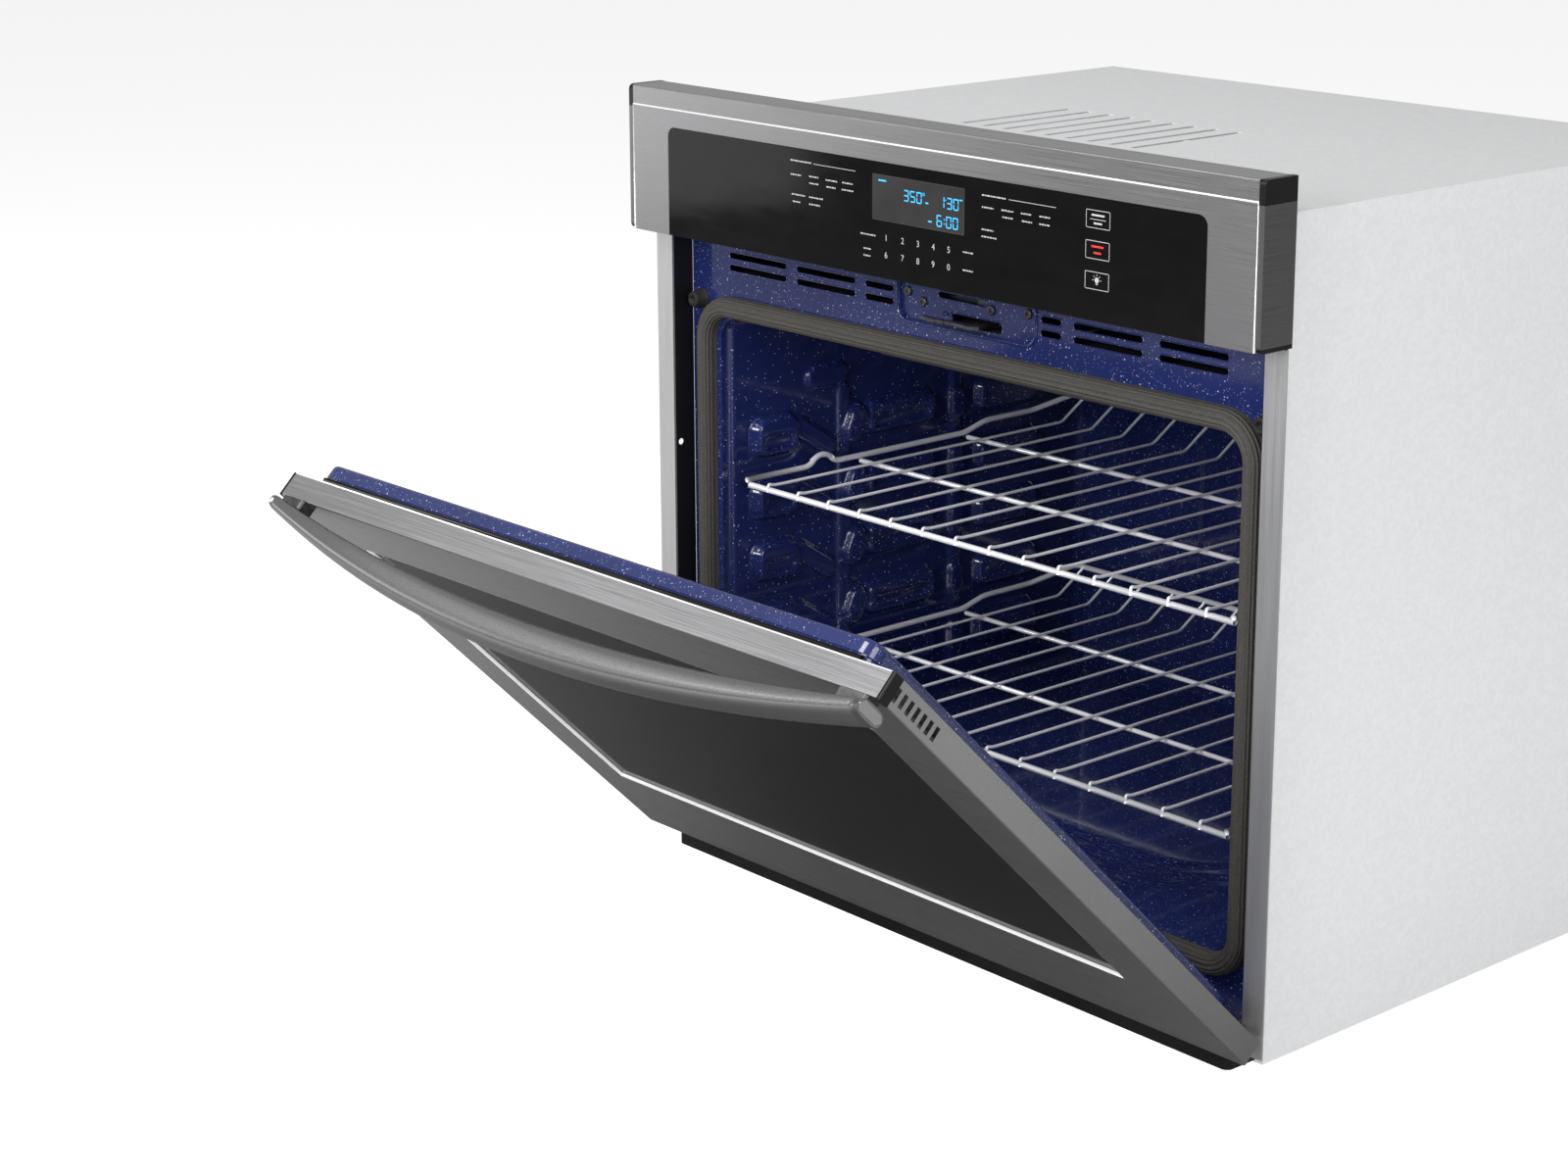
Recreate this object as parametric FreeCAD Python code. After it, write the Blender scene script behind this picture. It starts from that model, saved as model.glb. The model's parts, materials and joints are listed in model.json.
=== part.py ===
import FreeCAD, Part
import os
from math import cos, radians, tan

# A built-in wall oven for a 30 inch (762 mm) cabinet, in millimetres.
# Frame: X to the right as seen from the front, +Y into the cabinet, +Z up. The origin is the
# middle of the base's front edge, in the plane of the cabinet's face (y = 0, z = 0).
# The door is modelled closed and then turned open about its hinge by DOOR_OPEN.

V = FreeCAD.Vector
X_AXIS = V(1, 0, 0)
Y_AXIS = V(0, 1, 0)
Z_AXIS = V(0, 0, 1)

# ---- driving dimensions ----------------------------------------------------------------
WIDTH = 756.0  # over the control panel and the door
HEIGHT = 733.0  # base to the top of the control panel
FRONT_Y = -32.0  # front faces of the door and the control panel
HALF = WIDTH / 2
SHEET = 1.0  # chassis sheet
SKIN = 0.8  # stainless sheet of the door
ENAMEL = 1.2  # porcelain-coated sheet
GLASS = 4.0
GAP = 0.3  # between neighbouring pieces that only meet

# chassis, the box that goes into the cabinet
BODY_HALF = 358.0
BODY_IN = BODY_HALF - SHEET - 0.2  # half the width between the side panels, with a small gap
BODY_BACK = 590.0
BODY_TOP = 700.0
PANEL_BACK_Y = 3.0
PANEL_Z = 601.0  # underside of the control panel
SHELF_Z = 600.0  # top edge of the front plate

# front plate, seal and oven cavity
PLATE_Y = 23.5
PLATE_BACK = PLATE_Y + ENAMEL
SEAL_FACE = 10.7
CAVITY_HALF = 317.0
CAVITY_Z0 = 84.0
CAVITY_Z1 = 520.0
CAVITY_BACK = 505.0
CAVITY_R = 22.0
SEAL_HALF = 342.5
SEAL_WIDTH = 19.0
SEAL_R = 42.0
SEAL_ROUND = 5.0  # rounding of its front edges

# door, closed
DOOR_Z0 = 35.0
DOOR_H = 562.0
DOOR_Z1 = DOOR_Z0 + DOOR_H
SKIN_BACK = FRONT_Y + 22.7
LINER_HALF = 345.0
LINER_Z0 = DOOR_Z0 + 10
LINER_Z1 = DOOR_Z1 - 2
LINER_BACK = 10.2
HEM_BACK = -2.5  # the liner starts with a hem that is a little narrower
HEM_IN = 2.5
PLUG_HALF = 304.0
PLUG_Z0 = CAVITY_Z0 + 20
PLUG_Z1 = CAVITY_Z1 - 9
PLUG_BACK = 21.1
WINDOW_HALF = 320.0
WINDOW_Z0 = DOOR_Z0 + 113
WINDOW_Z1 = DOOR_Z0 + 496
PORT_HALF = 240.0  # clear opening of the inner window
PORT_Z0 = 190.0
PORT_Z1 = 440.0

# door hinge
PIVOT = V(0, -8, 41)
DOOR_OPEN = 45.2
PIN_R = 3.5
RUNNING = 0.05  # radial clearance of a running fit
ARM_X0 = 352.0
ARM_X1 = 356.0
HINGE_X0 = 346.6  # outer faces of the hinge body's two plates
HINGE_X1 = 361.4
SPRING_R = 3.8
SPRING_WIRE_R = 0.8
SPRING_Z0 = 80.0
SPRING_H = 120.0

# handle: a bowed bar with a flat, rounded section
GRIP_HALF = 372.0
GRIP_Z0 = DOOR_Z0 + 541
GRIP_Z1 = DOOR_Z0 + 571
GRIP_END_BACK = 4.0  # stand-off of the bar's rear face at its ends
GRIP_END_FRONT = 14.5
GRIP_MID_BACK = 36.5  # and at its middle
GRIP_MID_FRONT = 57.5
GRIP_R = 4.8

# racks
RACK_LEVELS = {"upper_rack": 363.0, "lower_rack": 180.7}
GUIDE_PITCH = (363.0 - 180.7) / 3
GUIDE_ROWS = 6  # from one below the lower rack to one above the upper rack
GUIDE_PADS = ((50.0, 114.0), (192.0, 294.0), (344.0, 440.0))  # their spans along Y
GUIDE_H = 42.0
GUIDE_R = 12.0
RACK_HALF = 300.0
RACK_FRONT = 42.0
RACK_BACK = 430.0
LIP_BACK = 468.0  # the rear lip slopes up and back
LIP_UP = 23.0
LIP_HALF = 283.0  # it is narrower, so that it passes between the guides above
WIRE_R = 1.7
BAR_R = 3.2
RAIL_UP = 1.0  # the side rail's middle over the level of the wires
BAR_DOWN = 4.5  # the cross bars' middle under it
RACK_BARS = (182.0, 326.0)  # cross bars behind the front bar
HUMP = ((117.0, 0.0), (126.0, 9.0), (140.0, 9.0), (149.0, 0.0))  # stop in the side rail
REAR_STEP = ((322.0, 0.0), (352.0, 8.0), (418.0, 8.0))  # the side rail rises ahead of the lip
RACK_BEND = 6.0
NUB_R = 2.6
WIRE_COUNT = 14
WIRE_PITCH = 41.6

# air duct and cooling blower over the cavity
DUCT_Z0 = 559.0
DUCT_Z1 = 594.0
DUCT_HALF = 320.0
DUCT_BACK = 400.0
BLOWER = V(-50, 250, 640)  # middle of the cross-flow wheel
WHEEL_HALF = 92.0
WHEEL_R = 30.0
BLADES = 18
SHAFT_R = 4.0

# latch
LATCH_PIVOT = V(24, 44, 562)
HOOK_T = 3.0

CABINET_HOLE_R = 3.0
CABINET_HOLES = (120.0, 396.0)
CABINET_HOLE_Y = 7.0
CONDUIT_R = 11.1  # knock-out for a 7/8 inch conduit fitting
CONDUIT = V(250, BODY_BACK, 650)
LAMP = V(-200, CAVITY_BACK, 462)

VENT_H = 5.5
VENT_ROWS = (567.0, 578.5)
VENT_SPANS = ((-303.6, -224.7), (-210.5, -132.7), (-119.6, -83.4))
VENT_SPANS += ((94.9, 118.4), (132.3, 208.8), (226.9, 299.9))
LATCH_SCREWS = ((-68.0, 578.5), (-49.0, 571.8), (34.0, 576.5), (77.5, 579.8))
REAR_SCREWS = [(x, z) for x in (-340, 0, 340) for z in (20, 345, 685)]

# heating elements and temperature sensor
ELEMENT_R = 3.2
ELEMENT_BEND = 16.0
TAIL_BACK = CAVITY_BACK + 42
BROIL_Z = 504.0
BROIL_TAILS = (-30.0, 30.0)
BAKE_Z = 78.5
BAKE_TAILS = (140.0, 200.0)
SENSOR = V(90, CAVITY_BACK, 486)


# ---- helpers ---------------------------------------------------------------------------
def box(x0, x1, y0, y1, z0, z1):
    return Part.makeBox(x1 - x0, y1 - y0, z1 - z0, V(x0, y0, z0))


def rounded(x0, x1, y0, y1, z0, z1, r):
    """A block whose four edges along Y have the radius r."""
    block = box(x0, x1, y0, y1, z0, z1)
    edges = [e for e in block.Edges if abs(e.tangentAt(e.FirstParameter).y) > 0.5]
    return block.makeFillet(r, edges)


def upright_block(half, y0, y1, z0, z1, r):
    """A block whose four upright edges have the radius r."""
    block = box(-half, half, y0, y1, z0, z1)
    return block.makeFillet(r, [e for e in block.Edges if abs(e.tangentAt(0).z) > 0.5])


def slot(x0, x1, z, y0, y1, height=VENT_H):
    """A cutter for a round-ended slot along X."""
    return rounded(x0, x1, y0, y1, z - height / 2, z + height / 2, height / 2 - 0.01)


def cylinder(at, axis, r, length):
    return Part.makeCylinder(r, length, at, axis)


def fuse(shapes):
    return shapes[0].multiFuse(shapes[1:]) if len(shapes) > 1 else shapes[0]


def mirrored(shape):
    """The left-hand twin of a right-hand piece."""
    return shape.mirror(V(0, 0, 0), X_AXIS)


def pair(shape):
    """A right-hand piece and its left-hand twin, as two solids of one node."""
    return Part.makeCompound([shape, mirrored(shape)])


def profile_x(points, x0, x1):
    """A plate between x0 and x1 whose outline in the Y-Z plane is points."""
    outline = [V(x0, y, z) for y, z in points]
    return Part.Face(Part.makePolygon(outline + outline[:1])).extrude(V(x1 - x0, 0, 0))


def bent_rod(points, r, bend):
    """A round rod along points, with an arc of radius bend at each corner."""
    edges = []
    start = points[0]
    for before, corner, after in zip(points, points[1:], points[2:]):
        come = (corner - before).normalize()
        go = (after - corner).normalize()
        half = come.getAngle(go) / 2
        enter = corner - come * (bend * tan(half))
        leave = corner + go * (bend * tan(half))
        middle = corner + (go - come).normalize() * (bend / cos(half) - bend)
        edges.append(Part.LineSegment(start, enter).toShape())
        edges.append(Part.Arc(enter, middle, leave).toShape())
        start = leave
    edges.append(Part.LineSegment(start, points[-1]).toShape())
    section = Part.Wire(Part.makeCircle(r, points[0], points[1] - points[0]))
    return Part.Wire(edges).makePipeShell([section], True, False)


def pan_head(at, axis, r, height, shank_r, shank):
    """A screw: a domed head that stands on at, with a cross recess, and its shank behind."""
    head = cylinder(at, axis, r, height)
    head = head.makeFillet(height * 0.45, [head.Edges[0]])
    across = cylinder(at - axis * shank, axis, shank_r, shank)
    cross = Part.makeBox(r, 0.22 * r, height, V(-r / 2, -0.11 * r, 0))
    cross = cross.fuse(Part.makeBox(0.22 * r, r, height, V(-0.11 * r, -r / 2, 0)))
    cross.Placement = FreeCAD.Placement(at + axis * (height * 0.55), FreeCAD.Rotation(Z_AXIS, axis))
    return head.fuse(across).cut(cross)


# ---- chassis ---------------------------------------------------------------------------
def side_panel():
    """Right side of the chassis; its upper part reaches forward behind the control panel."""
    lower = box(BODY_HALF - SHEET, BODY_HALF, PLATE_BACK, BODY_BACK, 0, BODY_TOP)
    upper = box(BODY_HALF - SHEET, BODY_HALF, PANEL_BACK_Y + GAP, BODY_BACK, SHELF_Z + GAP, BODY_TOP)
    return fuse([lower, upper])


def base_pan():
    """Floor of the chassis, with turned-up edges, a front lip and two ribs that stiffen it."""
    pan = box(-BODY_IN, BODY_IN, PLATE_BACK + GAP, BODY_BACK - 2, 0, SHEET)
    lip = box(-345, 345, -4, PLATE_BACK + GAP, 0, SHEET)
    edges = [
        box(-BODY_IN, -BODY_IN + SHEET, PLATE_BACK + GAP, BODY_BACK - 2, 0, 16),
        box(BODY_IN - SHEET, BODY_IN, PLATE_BACK + GAP, BODY_BACK - 2, 0, 16),
        box(-BODY_IN, BODY_IN, PLATE_BACK + GAP, PLATE_BACK + GAP + SHEET, 0, 14),
    ]
    ribs = [box(x - 12, x + 12, 60, 540, SHEET / 2, 6) for x in (-180, 180)]
    hollows = [box(x - 11, x + 11, 59, 541, SHEET, 5) for x in (-180, 180)]
    return fuse([pan, lip] + edges + ribs).cut(fuse(hollows))


def top_panel():
    panel = box(-BODY_IN, BODY_IN, PANEL_BACK_Y + GAP, BODY_BACK - 2, BODY_TOP - SHEET, BODY_TOP)
    for n in range(9):
        x = -160 + 26 * n
        panel = panel.cut(box(x - 3, x + 3, 180, 320, BODY_TOP - 2, BODY_TOP + 1))
    return panel


def rear_panel():
    z0, z1 = SHEET + GAP, BODY_TOP - SHEET - GAP
    panel = box(-BODY_IN, BODY_IN, BODY_BACK - SHEET - 0.2, BODY_BACK, z0, z1)
    panel = panel.cut(cylinder(CONDUIT - Y_AXIS * 5, Y_AXIS, CONDUIT_R, 10))
    for row in range(2):
        for n in range(8):
            x = -260 + 40 * n
            panel = panel.cut(slot(x, x + 28, 618 + 14 * row, BODY_BACK - 5, BODY_BACK + 1))
    for x, z in REAR_SCREWS:
        panel = panel.cut(cylinder(V(x, BODY_BACK - 5, z), Y_AXIS, 2.0, 10))
    return panel


def rear_screws():
    screws = [pan_head(V(x, BODY_BACK, z), Y_AXIS, 4.2, 2.2, 1.9, 8) for x, z in REAR_SCREWS]
    return Part.makeCompound(screws)


def side_trim():
    """Right-hand mounting trim: a face flange on the cabinet and a wall back to the front plate."""
    z0, z1 = 18.5, SHELF_Z
    flange = box(BODY_HALF - SHEET, HALF + 1, -1.2, 0, z0, z1)
    wall = box(BODY_HALF - SHEET, BODY_HALF, -1.2, PLATE_Y - 0.1, z0, z1)
    trim = fuse([flange, wall])
    for z in CABINET_HOLES:
        trim = trim.cut(cylinder(V(BODY_HALF - 3, CABINET_HOLE_Y, z), X_AXIS, CABINET_HOLE_R, 6))
    return trim


def bottom_trim():
    """Black kick strip under the door, with rounded front corners."""
    strip = box(-350, 350, -9, PLATE_BACK, 2, 14)
    corners = [e for e in strip.Edges if abs(e.tangentAt(0).z) > 0.5 and e.CenterOfMass.y < 0]
    strip = strip.makeFillet(7, corners)
    return strip.cut(box(-346, 346, -7.5, PLATE_BACK + 1, 3.5, 12.5))


def front_plate():
    """Enamelled face of the chassis around the cavity mouth, with the pocket of the latch."""
    plate = box(-BODY_IN, BODY_IN, PLATE_Y, PLATE_BACK, 14.5, SHELF_Z)
    mouth = rounded(-CAVITY_HALF, CAVITY_HALF, 0, 50, CAVITY_Z0, CAVITY_Z1, CAVITY_R)
    plate = plate.cut(mouth)
    for x0, x1 in VENT_SPANS:
        for z in VENT_ROWS:
            plate = plate.cut(slot(x0, x1, z, 0, 50))
    depth = 3.0
    pocket = rounded(-77, 88, PLATE_Y, PLATE_BACK + depth, 553, SHELF_Z + 15, 12)
    hollow = rounded(-77 + ENAMEL, 88 - ENAMEL, 0, PLATE_Y + depth, 553 + ENAMEL, SHELF_Z + 15, 10.8)
    above = box(-100, 100, 0, 60, SHELF_Z, SHELF_Z + 30)
    plate = plate.fuse(pocket.cut(above)).cut(hollow)
    plate = plate.cut(slot(-30.7, 28, 581, 0, 50))
    plate = plate.cut(rounded(-14, 46, 0, 50, 557, 567, 3))
    for x, z in LATCH_SCREWS:
        plate = plate.cut(cylinder(V(x, 0, z), Y_AXIS, 2.0, 50))
    for side in (-1, 1):
        arm = box(ARM_X0 - 1.2, BODY_HALF, 0, 50, PIVOT.z - 8, PIVOT.z + 8)
        plate = plate.cut(arm if side > 0 else mirrored(arm))
        plate = plate.cut(cylinder(V(side * 343, 0, 533), Y_AXIS, 3.0, 50))
    return plate


def front_plate_screws():
    face = PLATE_Y + 3.0
    return Part.makeCompound([pan_head(V(x, face, z), -Y_AXIS, 4.4, 2.2, 1.9, 10) for x, z in LATCH_SCREWS])


def door_bumpers():
    """Two round rubber stops beside the upper corners of the seal, each with a hexagon recess."""
    bumpers = []
    for side in (-1, 1):
        at = V(side * 343, PLATE_Y, 533)
        body = cylinder(at, -Y_AXIS, 7.5, PLATE_Y - SEAL_FACE)
        body = body.makeFillet(1.6, [e for e in body.Edges if e.CenterOfMass.y < SEAL_FACE + 0.5])
        stem = cylinder(at, Y_AXIS, 2.9, 5)
        socket = Part.Face(Part.makePolygon(hexagon(V(at.x, SEAL_FACE - 1, at.z), 3.2)))
        bumpers.append(body.fuse(stem).cut(socket.extrude(V(0, 4, 0))))
    return Part.makeCompound(bumpers)


def hexagon(at, r):
    corners = [at + V(r * cos(radians(60 * n)), 0, r * cos(radians(60 * n - 90))) for n in range(6)]
    return corners + corners[:1]


def door_gasket():
    """Bulb seal round the cavity mouth, with rounded front edges."""
    outer = rounded(-SEAL_HALF, SEAL_HALF, SEAL_FACE, PLATE_Y, 64, 540, SEAL_R)
    inset = SEAL_WIDTH
    half, r = SEAL_HALF - inset, SEAL_R - inset
    seal = outer.cut(rounded(-half, half, 0, 50, 64 + inset, 540 - inset, r))
    front = [e for e in seal.Edges if e.BoundBox.YMax < SEAL_FACE + 0.1]
    return seal.makeFillet(SEAL_ROUND, front)


# ---- oven cavity -----------------------------------------------------------------------
def guide_pads(inset):
    """Pressed pads of the right wall, or with an inset the hollows behind them.

    Each row's top carries a rack rail; the rows run from one level below the lower rack to
    one above the upper rack.
    """
    pads = []
    lowest = RACK_LEVELS["lower_rack"] - GUIDE_PITCH + RAIL_UP - BAR_R - GAP
    for row in range(GUIDE_ROWS):
        z1 = lowest + GUIDE_PITCH * row
        z0 = max(z1 - GUIDE_H, CAVITY_Z0 + 4)
        for y0, y1 in GUIDE_PADS:
            x1 = CAVITY_HALF + SHEET / 2 + inset
            pad = box(RACK_HALF + inset, x1, y0 + inset, y1 - inset, z0 + inset, z1 - inset)
            corners = [e for e in pad.Edges if abs(e.tangentAt(0).x) > 0.5]
            pads.append(pad.makeFillet(GUIDE_R - inset, corners))
    return fuse(pads)


def cavity_side():
    """Right wall of the cavity, with rows of pressed pads that guide the racks."""
    z0, z1 = CAVITY_Z0 + GAP, CAVITY_Z1 - GAP
    wall = box(CAVITY_HALF, CAVITY_HALF + SHEET, PLATE_BACK, CAVITY_BACK, z0, z1)
    return wall.fuse(guide_pads(0)).cut(guide_pads(SHEET))


def cavity_back():
    """Back wall with seven upright ribs and the holes of the lamp, the grill and the sensor."""
    z0, z1 = CAVITY_Z0 + GAP, CAVITY_Z1 - GAP
    wall = box(-CAVITY_HALF, CAVITY_HALF, CAVITY_BACK, CAVITY_BACK + SHEET, z0, z1)
    ribs = []
    for n in range(7):
        x = -150 + 50 * n
        rib = box(x - 7, x + 7, CAVITY_BACK - 4, CAVITY_BACK + SHEET / 2, 120, 400)
        rim = [e for e in rib.Edges if e.CenterOfMass.y < CAVITY_BACK - 3.9]
        ribs.append(rib.makeChamfer(3.5, rim))
    wall = fuse([wall] + ribs)
    wall = wall.cut(cylinder(LAMP - Y_AXIS * 10, Y_AXIS, 27, 20))
    for x in BROIL_TAILS:
        wall = wall.cut(cylinder(V(x, CAVITY_BACK - 10, BROIL_Z), Y_AXIS, 4.2, 20))
    return wall.cut(cylinder(SENSOR - Y_AXIS * 10, Y_AXIS, 3.4, 20))


def cavity_sheet(z):
    """Level sheet of the cavity that overlaps its three walls, with its underside at z."""
    half = CAVITY_HALF + SHEET
    return box(-half, half, PLATE_BACK, CAVITY_BACK + SHEET, z, z + SHEET)


def cavity_floor():
    """Floor of the cavity with a shallow raised field over the hidden element."""
    floor = cavity_sheet(CAVITY_Z0 - SHEET)
    field = upright_block(240, 100, 440, CAVITY_Z0 - SHEET, CAVITY_Z0 + 2, 40)
    return floor.fuse(field).cut(upright_block(239, 101, 439, CAVITY_Z0 - 5, CAVITY_Z0 + 1, 39))


def insulation_wrap():
    """Blanket over the top and down both sides of the cavity."""
    outer = box(-BODY_IN + 2, BODY_IN - 2, 30, 500, 60, 553)
    inner = box(-CAVITY_HALF - 3, CAVITY_HALF + 3, 0, 520, 0, CAVITY_Z1 + 3)
    return outer.cut(inner)


def insulation_rear():
    y0, y1 = CAVITY_BACK + 4, CAVITY_BACK + 50
    blanket = box(-CAVITY_HALF, CAVITY_HALF, y0, y1, CAVITY_Z0, CAVITY_Z1 + 30)
    blanket = blanket.cut(cylinder(LAMP, Y_AXIS, 34, 80))
    for x in BROIL_TAILS:
        blanket = blanket.cut(cylinder(V(x, CAVITY_BACK, BROIL_Z), Y_AXIS, 9, 80))
    for x in BAKE_TAILS:
        blanket = blanket.cut(cylinder(V(x, CAVITY_BACK, BAKE_Z), Y_AXIS, 9, 80))
    return blanket.cut(cylinder(SENSOR, Y_AXIS, 9, 80))


def insulation_bottom():
    return box(-CAVITY_HALF, CAVITY_HALF, 60, 500, 30, BAKE_Z - 8)


# ---- heating, lamp and sensor ----------------------------------------------------------
def broil_element():
    """Six-leg grill element under the cavity's top, with its two tails through the back wall."""
    left, right = BROIL_TAILS
    route = [(left, TAIL_BACK), (left, 110), (-100, 110), (-100, 400), (-170, 400), (-170, 80)]
    route += [(170, 80), (170, 400), (100, 400), (100, 110), (right, 110), (right, TAIL_BACK)]
    return bent_rod([V(x, y, BROIL_Z) for x, y in route], ELEMENT_R, ELEMENT_BEND)


def bake_element():
    """Hidden element under the cavity floor."""
    left, right = BAKE_TAILS
    route = [(left, TAIL_BACK), (left, 200), (60, 200), (60, 420)]
    route += [(-200, 420), (-200, 110), (right, 110), (right, TAIL_BACK)]
    return bent_rod([V(x, y, BAKE_Z) for x, y in route], ELEMENT_R, ELEMENT_BEND)


def temperature_sensor():
    probe = cylinder(SENSOR - Y_AXIS * 62, Y_AXIS, 2.4, 100)
    x, y, z = SENSOR
    return probe.fuse(box(x - 14, x + 14, y + 1.1, y + 2.4, z - 7, z + 7))


def lamp_socket():
    """Cup behind the back wall that holds the bulb."""
    cup = cylinder(LAMP + Y_AXIS * 1.2, Y_AXIS, 30, 42)
    cup = cup.cut(cylinder(LAMP, Y_AXIS, 28.5, 40))
    holder = cylinder(LAMP + Y_AXIS * 24, Y_AXIS, 13, 18)
    return cup.fuse(holder)


def lamp_bulb():
    globe = Part.makeSphere(11, LAMP + Y_AXIS * 9)
    neck = cylinder(LAMP + Y_AXIS * 10, Y_AXIS, 7, 13.8)
    return globe.fuse(neck)


def lamp_lens():
    """Screw-in glass cover of the lamp, a thin dome with a threaded skirt."""
    dome = cylinder(LAMP - Y_AXIS * 14, Y_AXIS, 26, 22)
    dome = dome.makeFillet(8, [e for e in dome.Edges if e.BoundBox.YMax < LAMP.y - 13])
    rim = cylinder(LAMP - Y_AXIS * 3.5, Y_AXIS, 33, 3)
    return dome.fuse(rim).cut(cylinder(LAMP - Y_AXIS * 11, Y_AXIS, 20, 30))


# ---- cooling air -----------------------------------------------------------------------
def air_duct():
    """Flat duct that carries cooling air from the blower to the slots over the door."""
    shell = box(-DUCT_HALF, DUCT_HALF, PLATE_BACK + 4, DUCT_BACK, DUCT_Z0, DUCT_Z1)
    half, z0, z1 = DUCT_HALF - SHEET, DUCT_Z0 + SHEET, DUCT_Z1 - SHEET
    inside = box(-half, half, 0, DUCT_BACK - SHEET, z0, z1)
    bay = box(-88, 98, 0, 110, DUCT_Z0 - 1, DUCT_Z1 + 1)
    throat = box(BLOWER.x - 100, BLOWER.x + 100, 215, 285, DUCT_Z1 - 5, DUCT_Z1 + 5)
    return shell.cut(inside).cut(bay).cut(throat)


def fan_housing():
    """Scroll housing of the cross-flow blower, open below and at its intake."""
    wall = 1.2
    x0, x1 = BLOWER.x - 112, BLOWER.x + 112
    shell = box(x0, x1, 205, 295, DUCT_Z1, 686)
    shell = shell.cut(box(x0 + wall, x1 - wall, 205 + wall, 295 - wall, DUCT_Z1 - 1, 686 - wall))
    shell = shell.cut(box(x0 + 12, x1 - 12, 200, 210, 612, 668))
    return shell.cut(cylinder(V(x0 - 5, BLOWER.y, BLOWER.z), X_AXIS, SHAFT_R + RUNNING, 300))


def fan_wheel():
    """Cross-flow wheel: end discs, one middle disc, blades and the shaft through them."""
    x0 = BLOWER.x - WHEEL_HALF
    places = (x0, BLOWER.x - 1, BLOWER.x + WHEEL_HALF - 2)
    discs = [cylinder(V(x, BLOWER.y, BLOWER.z), X_AXIS, WHEEL_R, 2) for x in places]
    shaft = cylinder(V(BLOWER.x - 118, BLOWER.y, BLOWER.z), X_AXIS, SHAFT_R, 118 + 136)
    blades = []
    for n in range(BLADES):
        blade = Part.makeBox(2 * WHEEL_HALF, 1.0, 8, V(x0, BLOWER.y - 0.5, BLOWER.z + WHEEL_R - 8.5))
        blade.rotate(V(x0, BLOWER.y, BLOWER.z + WHEEL_R - 4), X_AXIS, 35)
        blade.rotate(BLOWER, X_AXIS, 360 / BLADES * n)
        blades.append(blade)
    return fuse(discs + [shaft] + blades)


def fan_motor():
    """Shaded-pole motor of the blower, with a bore for the wheel's shaft."""
    at = V(BLOWER.x + 118, BLOWER.y, BLOWER.z)
    body = cylinder(at, X_AXIS, 30, 44)
    stack = box(at.x + 12, at.x + 32, at.y - 36, at.y + 36, at.z - 38, at.z + 30)
    feet = box(at.x + 12, at.x + 32, at.y - 46, at.y + 46, DUCT_Z1 + 0.1, DUCT_Z1 + 8.2)
    return fuse([body, stack, feet]).cut(cylinder(at - X_AXIS, X_AXIS, SHAFT_R + RUNNING, 22))


# ---- electrics -------------------------------------------------------------------------
def power_board():
    """Relay board on stand-offs over the duct."""
    board = box(180, 320, 130, 250, 606, 607.6)
    legs = [cylinder(V(x, y, DUCT_Z1 + 0.1), Z_AXIS, 3, 12) for x in (188, 312) for y in (138, 242)]
    relays = [box(192 + 30 * n, 214 + 30 * n, 150, 178, 607.5, 626) for n in range(4)]
    transformer = box(200, 248, 190, 232, 607.5, 645)
    return fuse([board, transformer] + legs + relays)


def terminal_block():
    base = box(205, 295, 540, 572, 606, 618)
    cells = [box(210 + 28 * n, 232 + 28 * n, 546, 566, 617, 628) for n in range(3)]
    return fuse([base] + cells)


def junction_box():
    """Shield around the terminal block, open towards the rear panel's knock-out."""
    shield = box(190, 310, 520, BODY_BACK - 1.5, 604, 690)
    return shield.cut(box(191.2, 308.8, 521.2, BODY_BACK, 605.2, 688.8))


def control_panel():
    """Stainless fascia: a shallow box, open behind, with a cut-out for the glass."""
    edge = HALF - 6
    shell = box(-edge, edge, FRONT_Y, PANEL_BACK_Y, PANEL_Z, HEIGHT)
    upper = [e for e in shell.Edges if e.Length > WIDTH / 2 and e.CenterOfMass.z > HEIGHT - 1]
    shell = shell.makeFillet(1.4, [e for e in upper if e.CenterOfMass.y < 0])
    y0, y1 = FRONT_Y + SHEET, PANEL_BACK_Y - SHEET
    shell = shell.cut(box(-edge - 1, edge + 1, y0, y1, PANEL_Z + SHEET, HEIGHT - SHEET))
    shell = shell.cut(box(-350, 350, 0, 10, PANEL_Z + 9, BODY_TOP - 4))
    return shell.cut(glass_outline(0.0, FRONT_Y - 1, FRONT_Y + GLASS + GAP))


def glass_outline(inset, y0, y1):
    """Outline of the touch glass: rounded upper corners, lower edge on the fascia's edge."""
    half, top, low = 322.5 - inset, 699.5 - inset, PANEL_Z + inset
    block = box(-half, half, y0, y1, low, top)
    uppers = [e for e in block.Edges if abs(e.tangentAt(0).y) > 0.5 and e.CenterOfMass.z > top - 1]
    return block.makeFillet(9, uppers)


def end_cap():
    """Right end cap of the control panel, with rounded front corners."""
    cap = box(HALF - 6, HALF, FRONT_Y, PANEL_BACK_Y + 2, PANEL_Z, HEIGHT)
    rim = [e for e in cap.Edges if abs(e.tangentAt(0).x) > 0.5 and e.CenterOfMass.y < 0]
    cap = cap.makeFillet(5, rim)
    tongue = box(HALF - 14, HALF - 5, FRONT_Y + 6, PANEL_BACK_Y - 3, PANEL_Z + 6, HEIGHT - 6)
    return cap.fuse(tongue)


def display_module():
    return box(-52, 61, FRONT_Y + GLASS + 0.2, FRONT_Y + 15, 649, 690)


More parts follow.
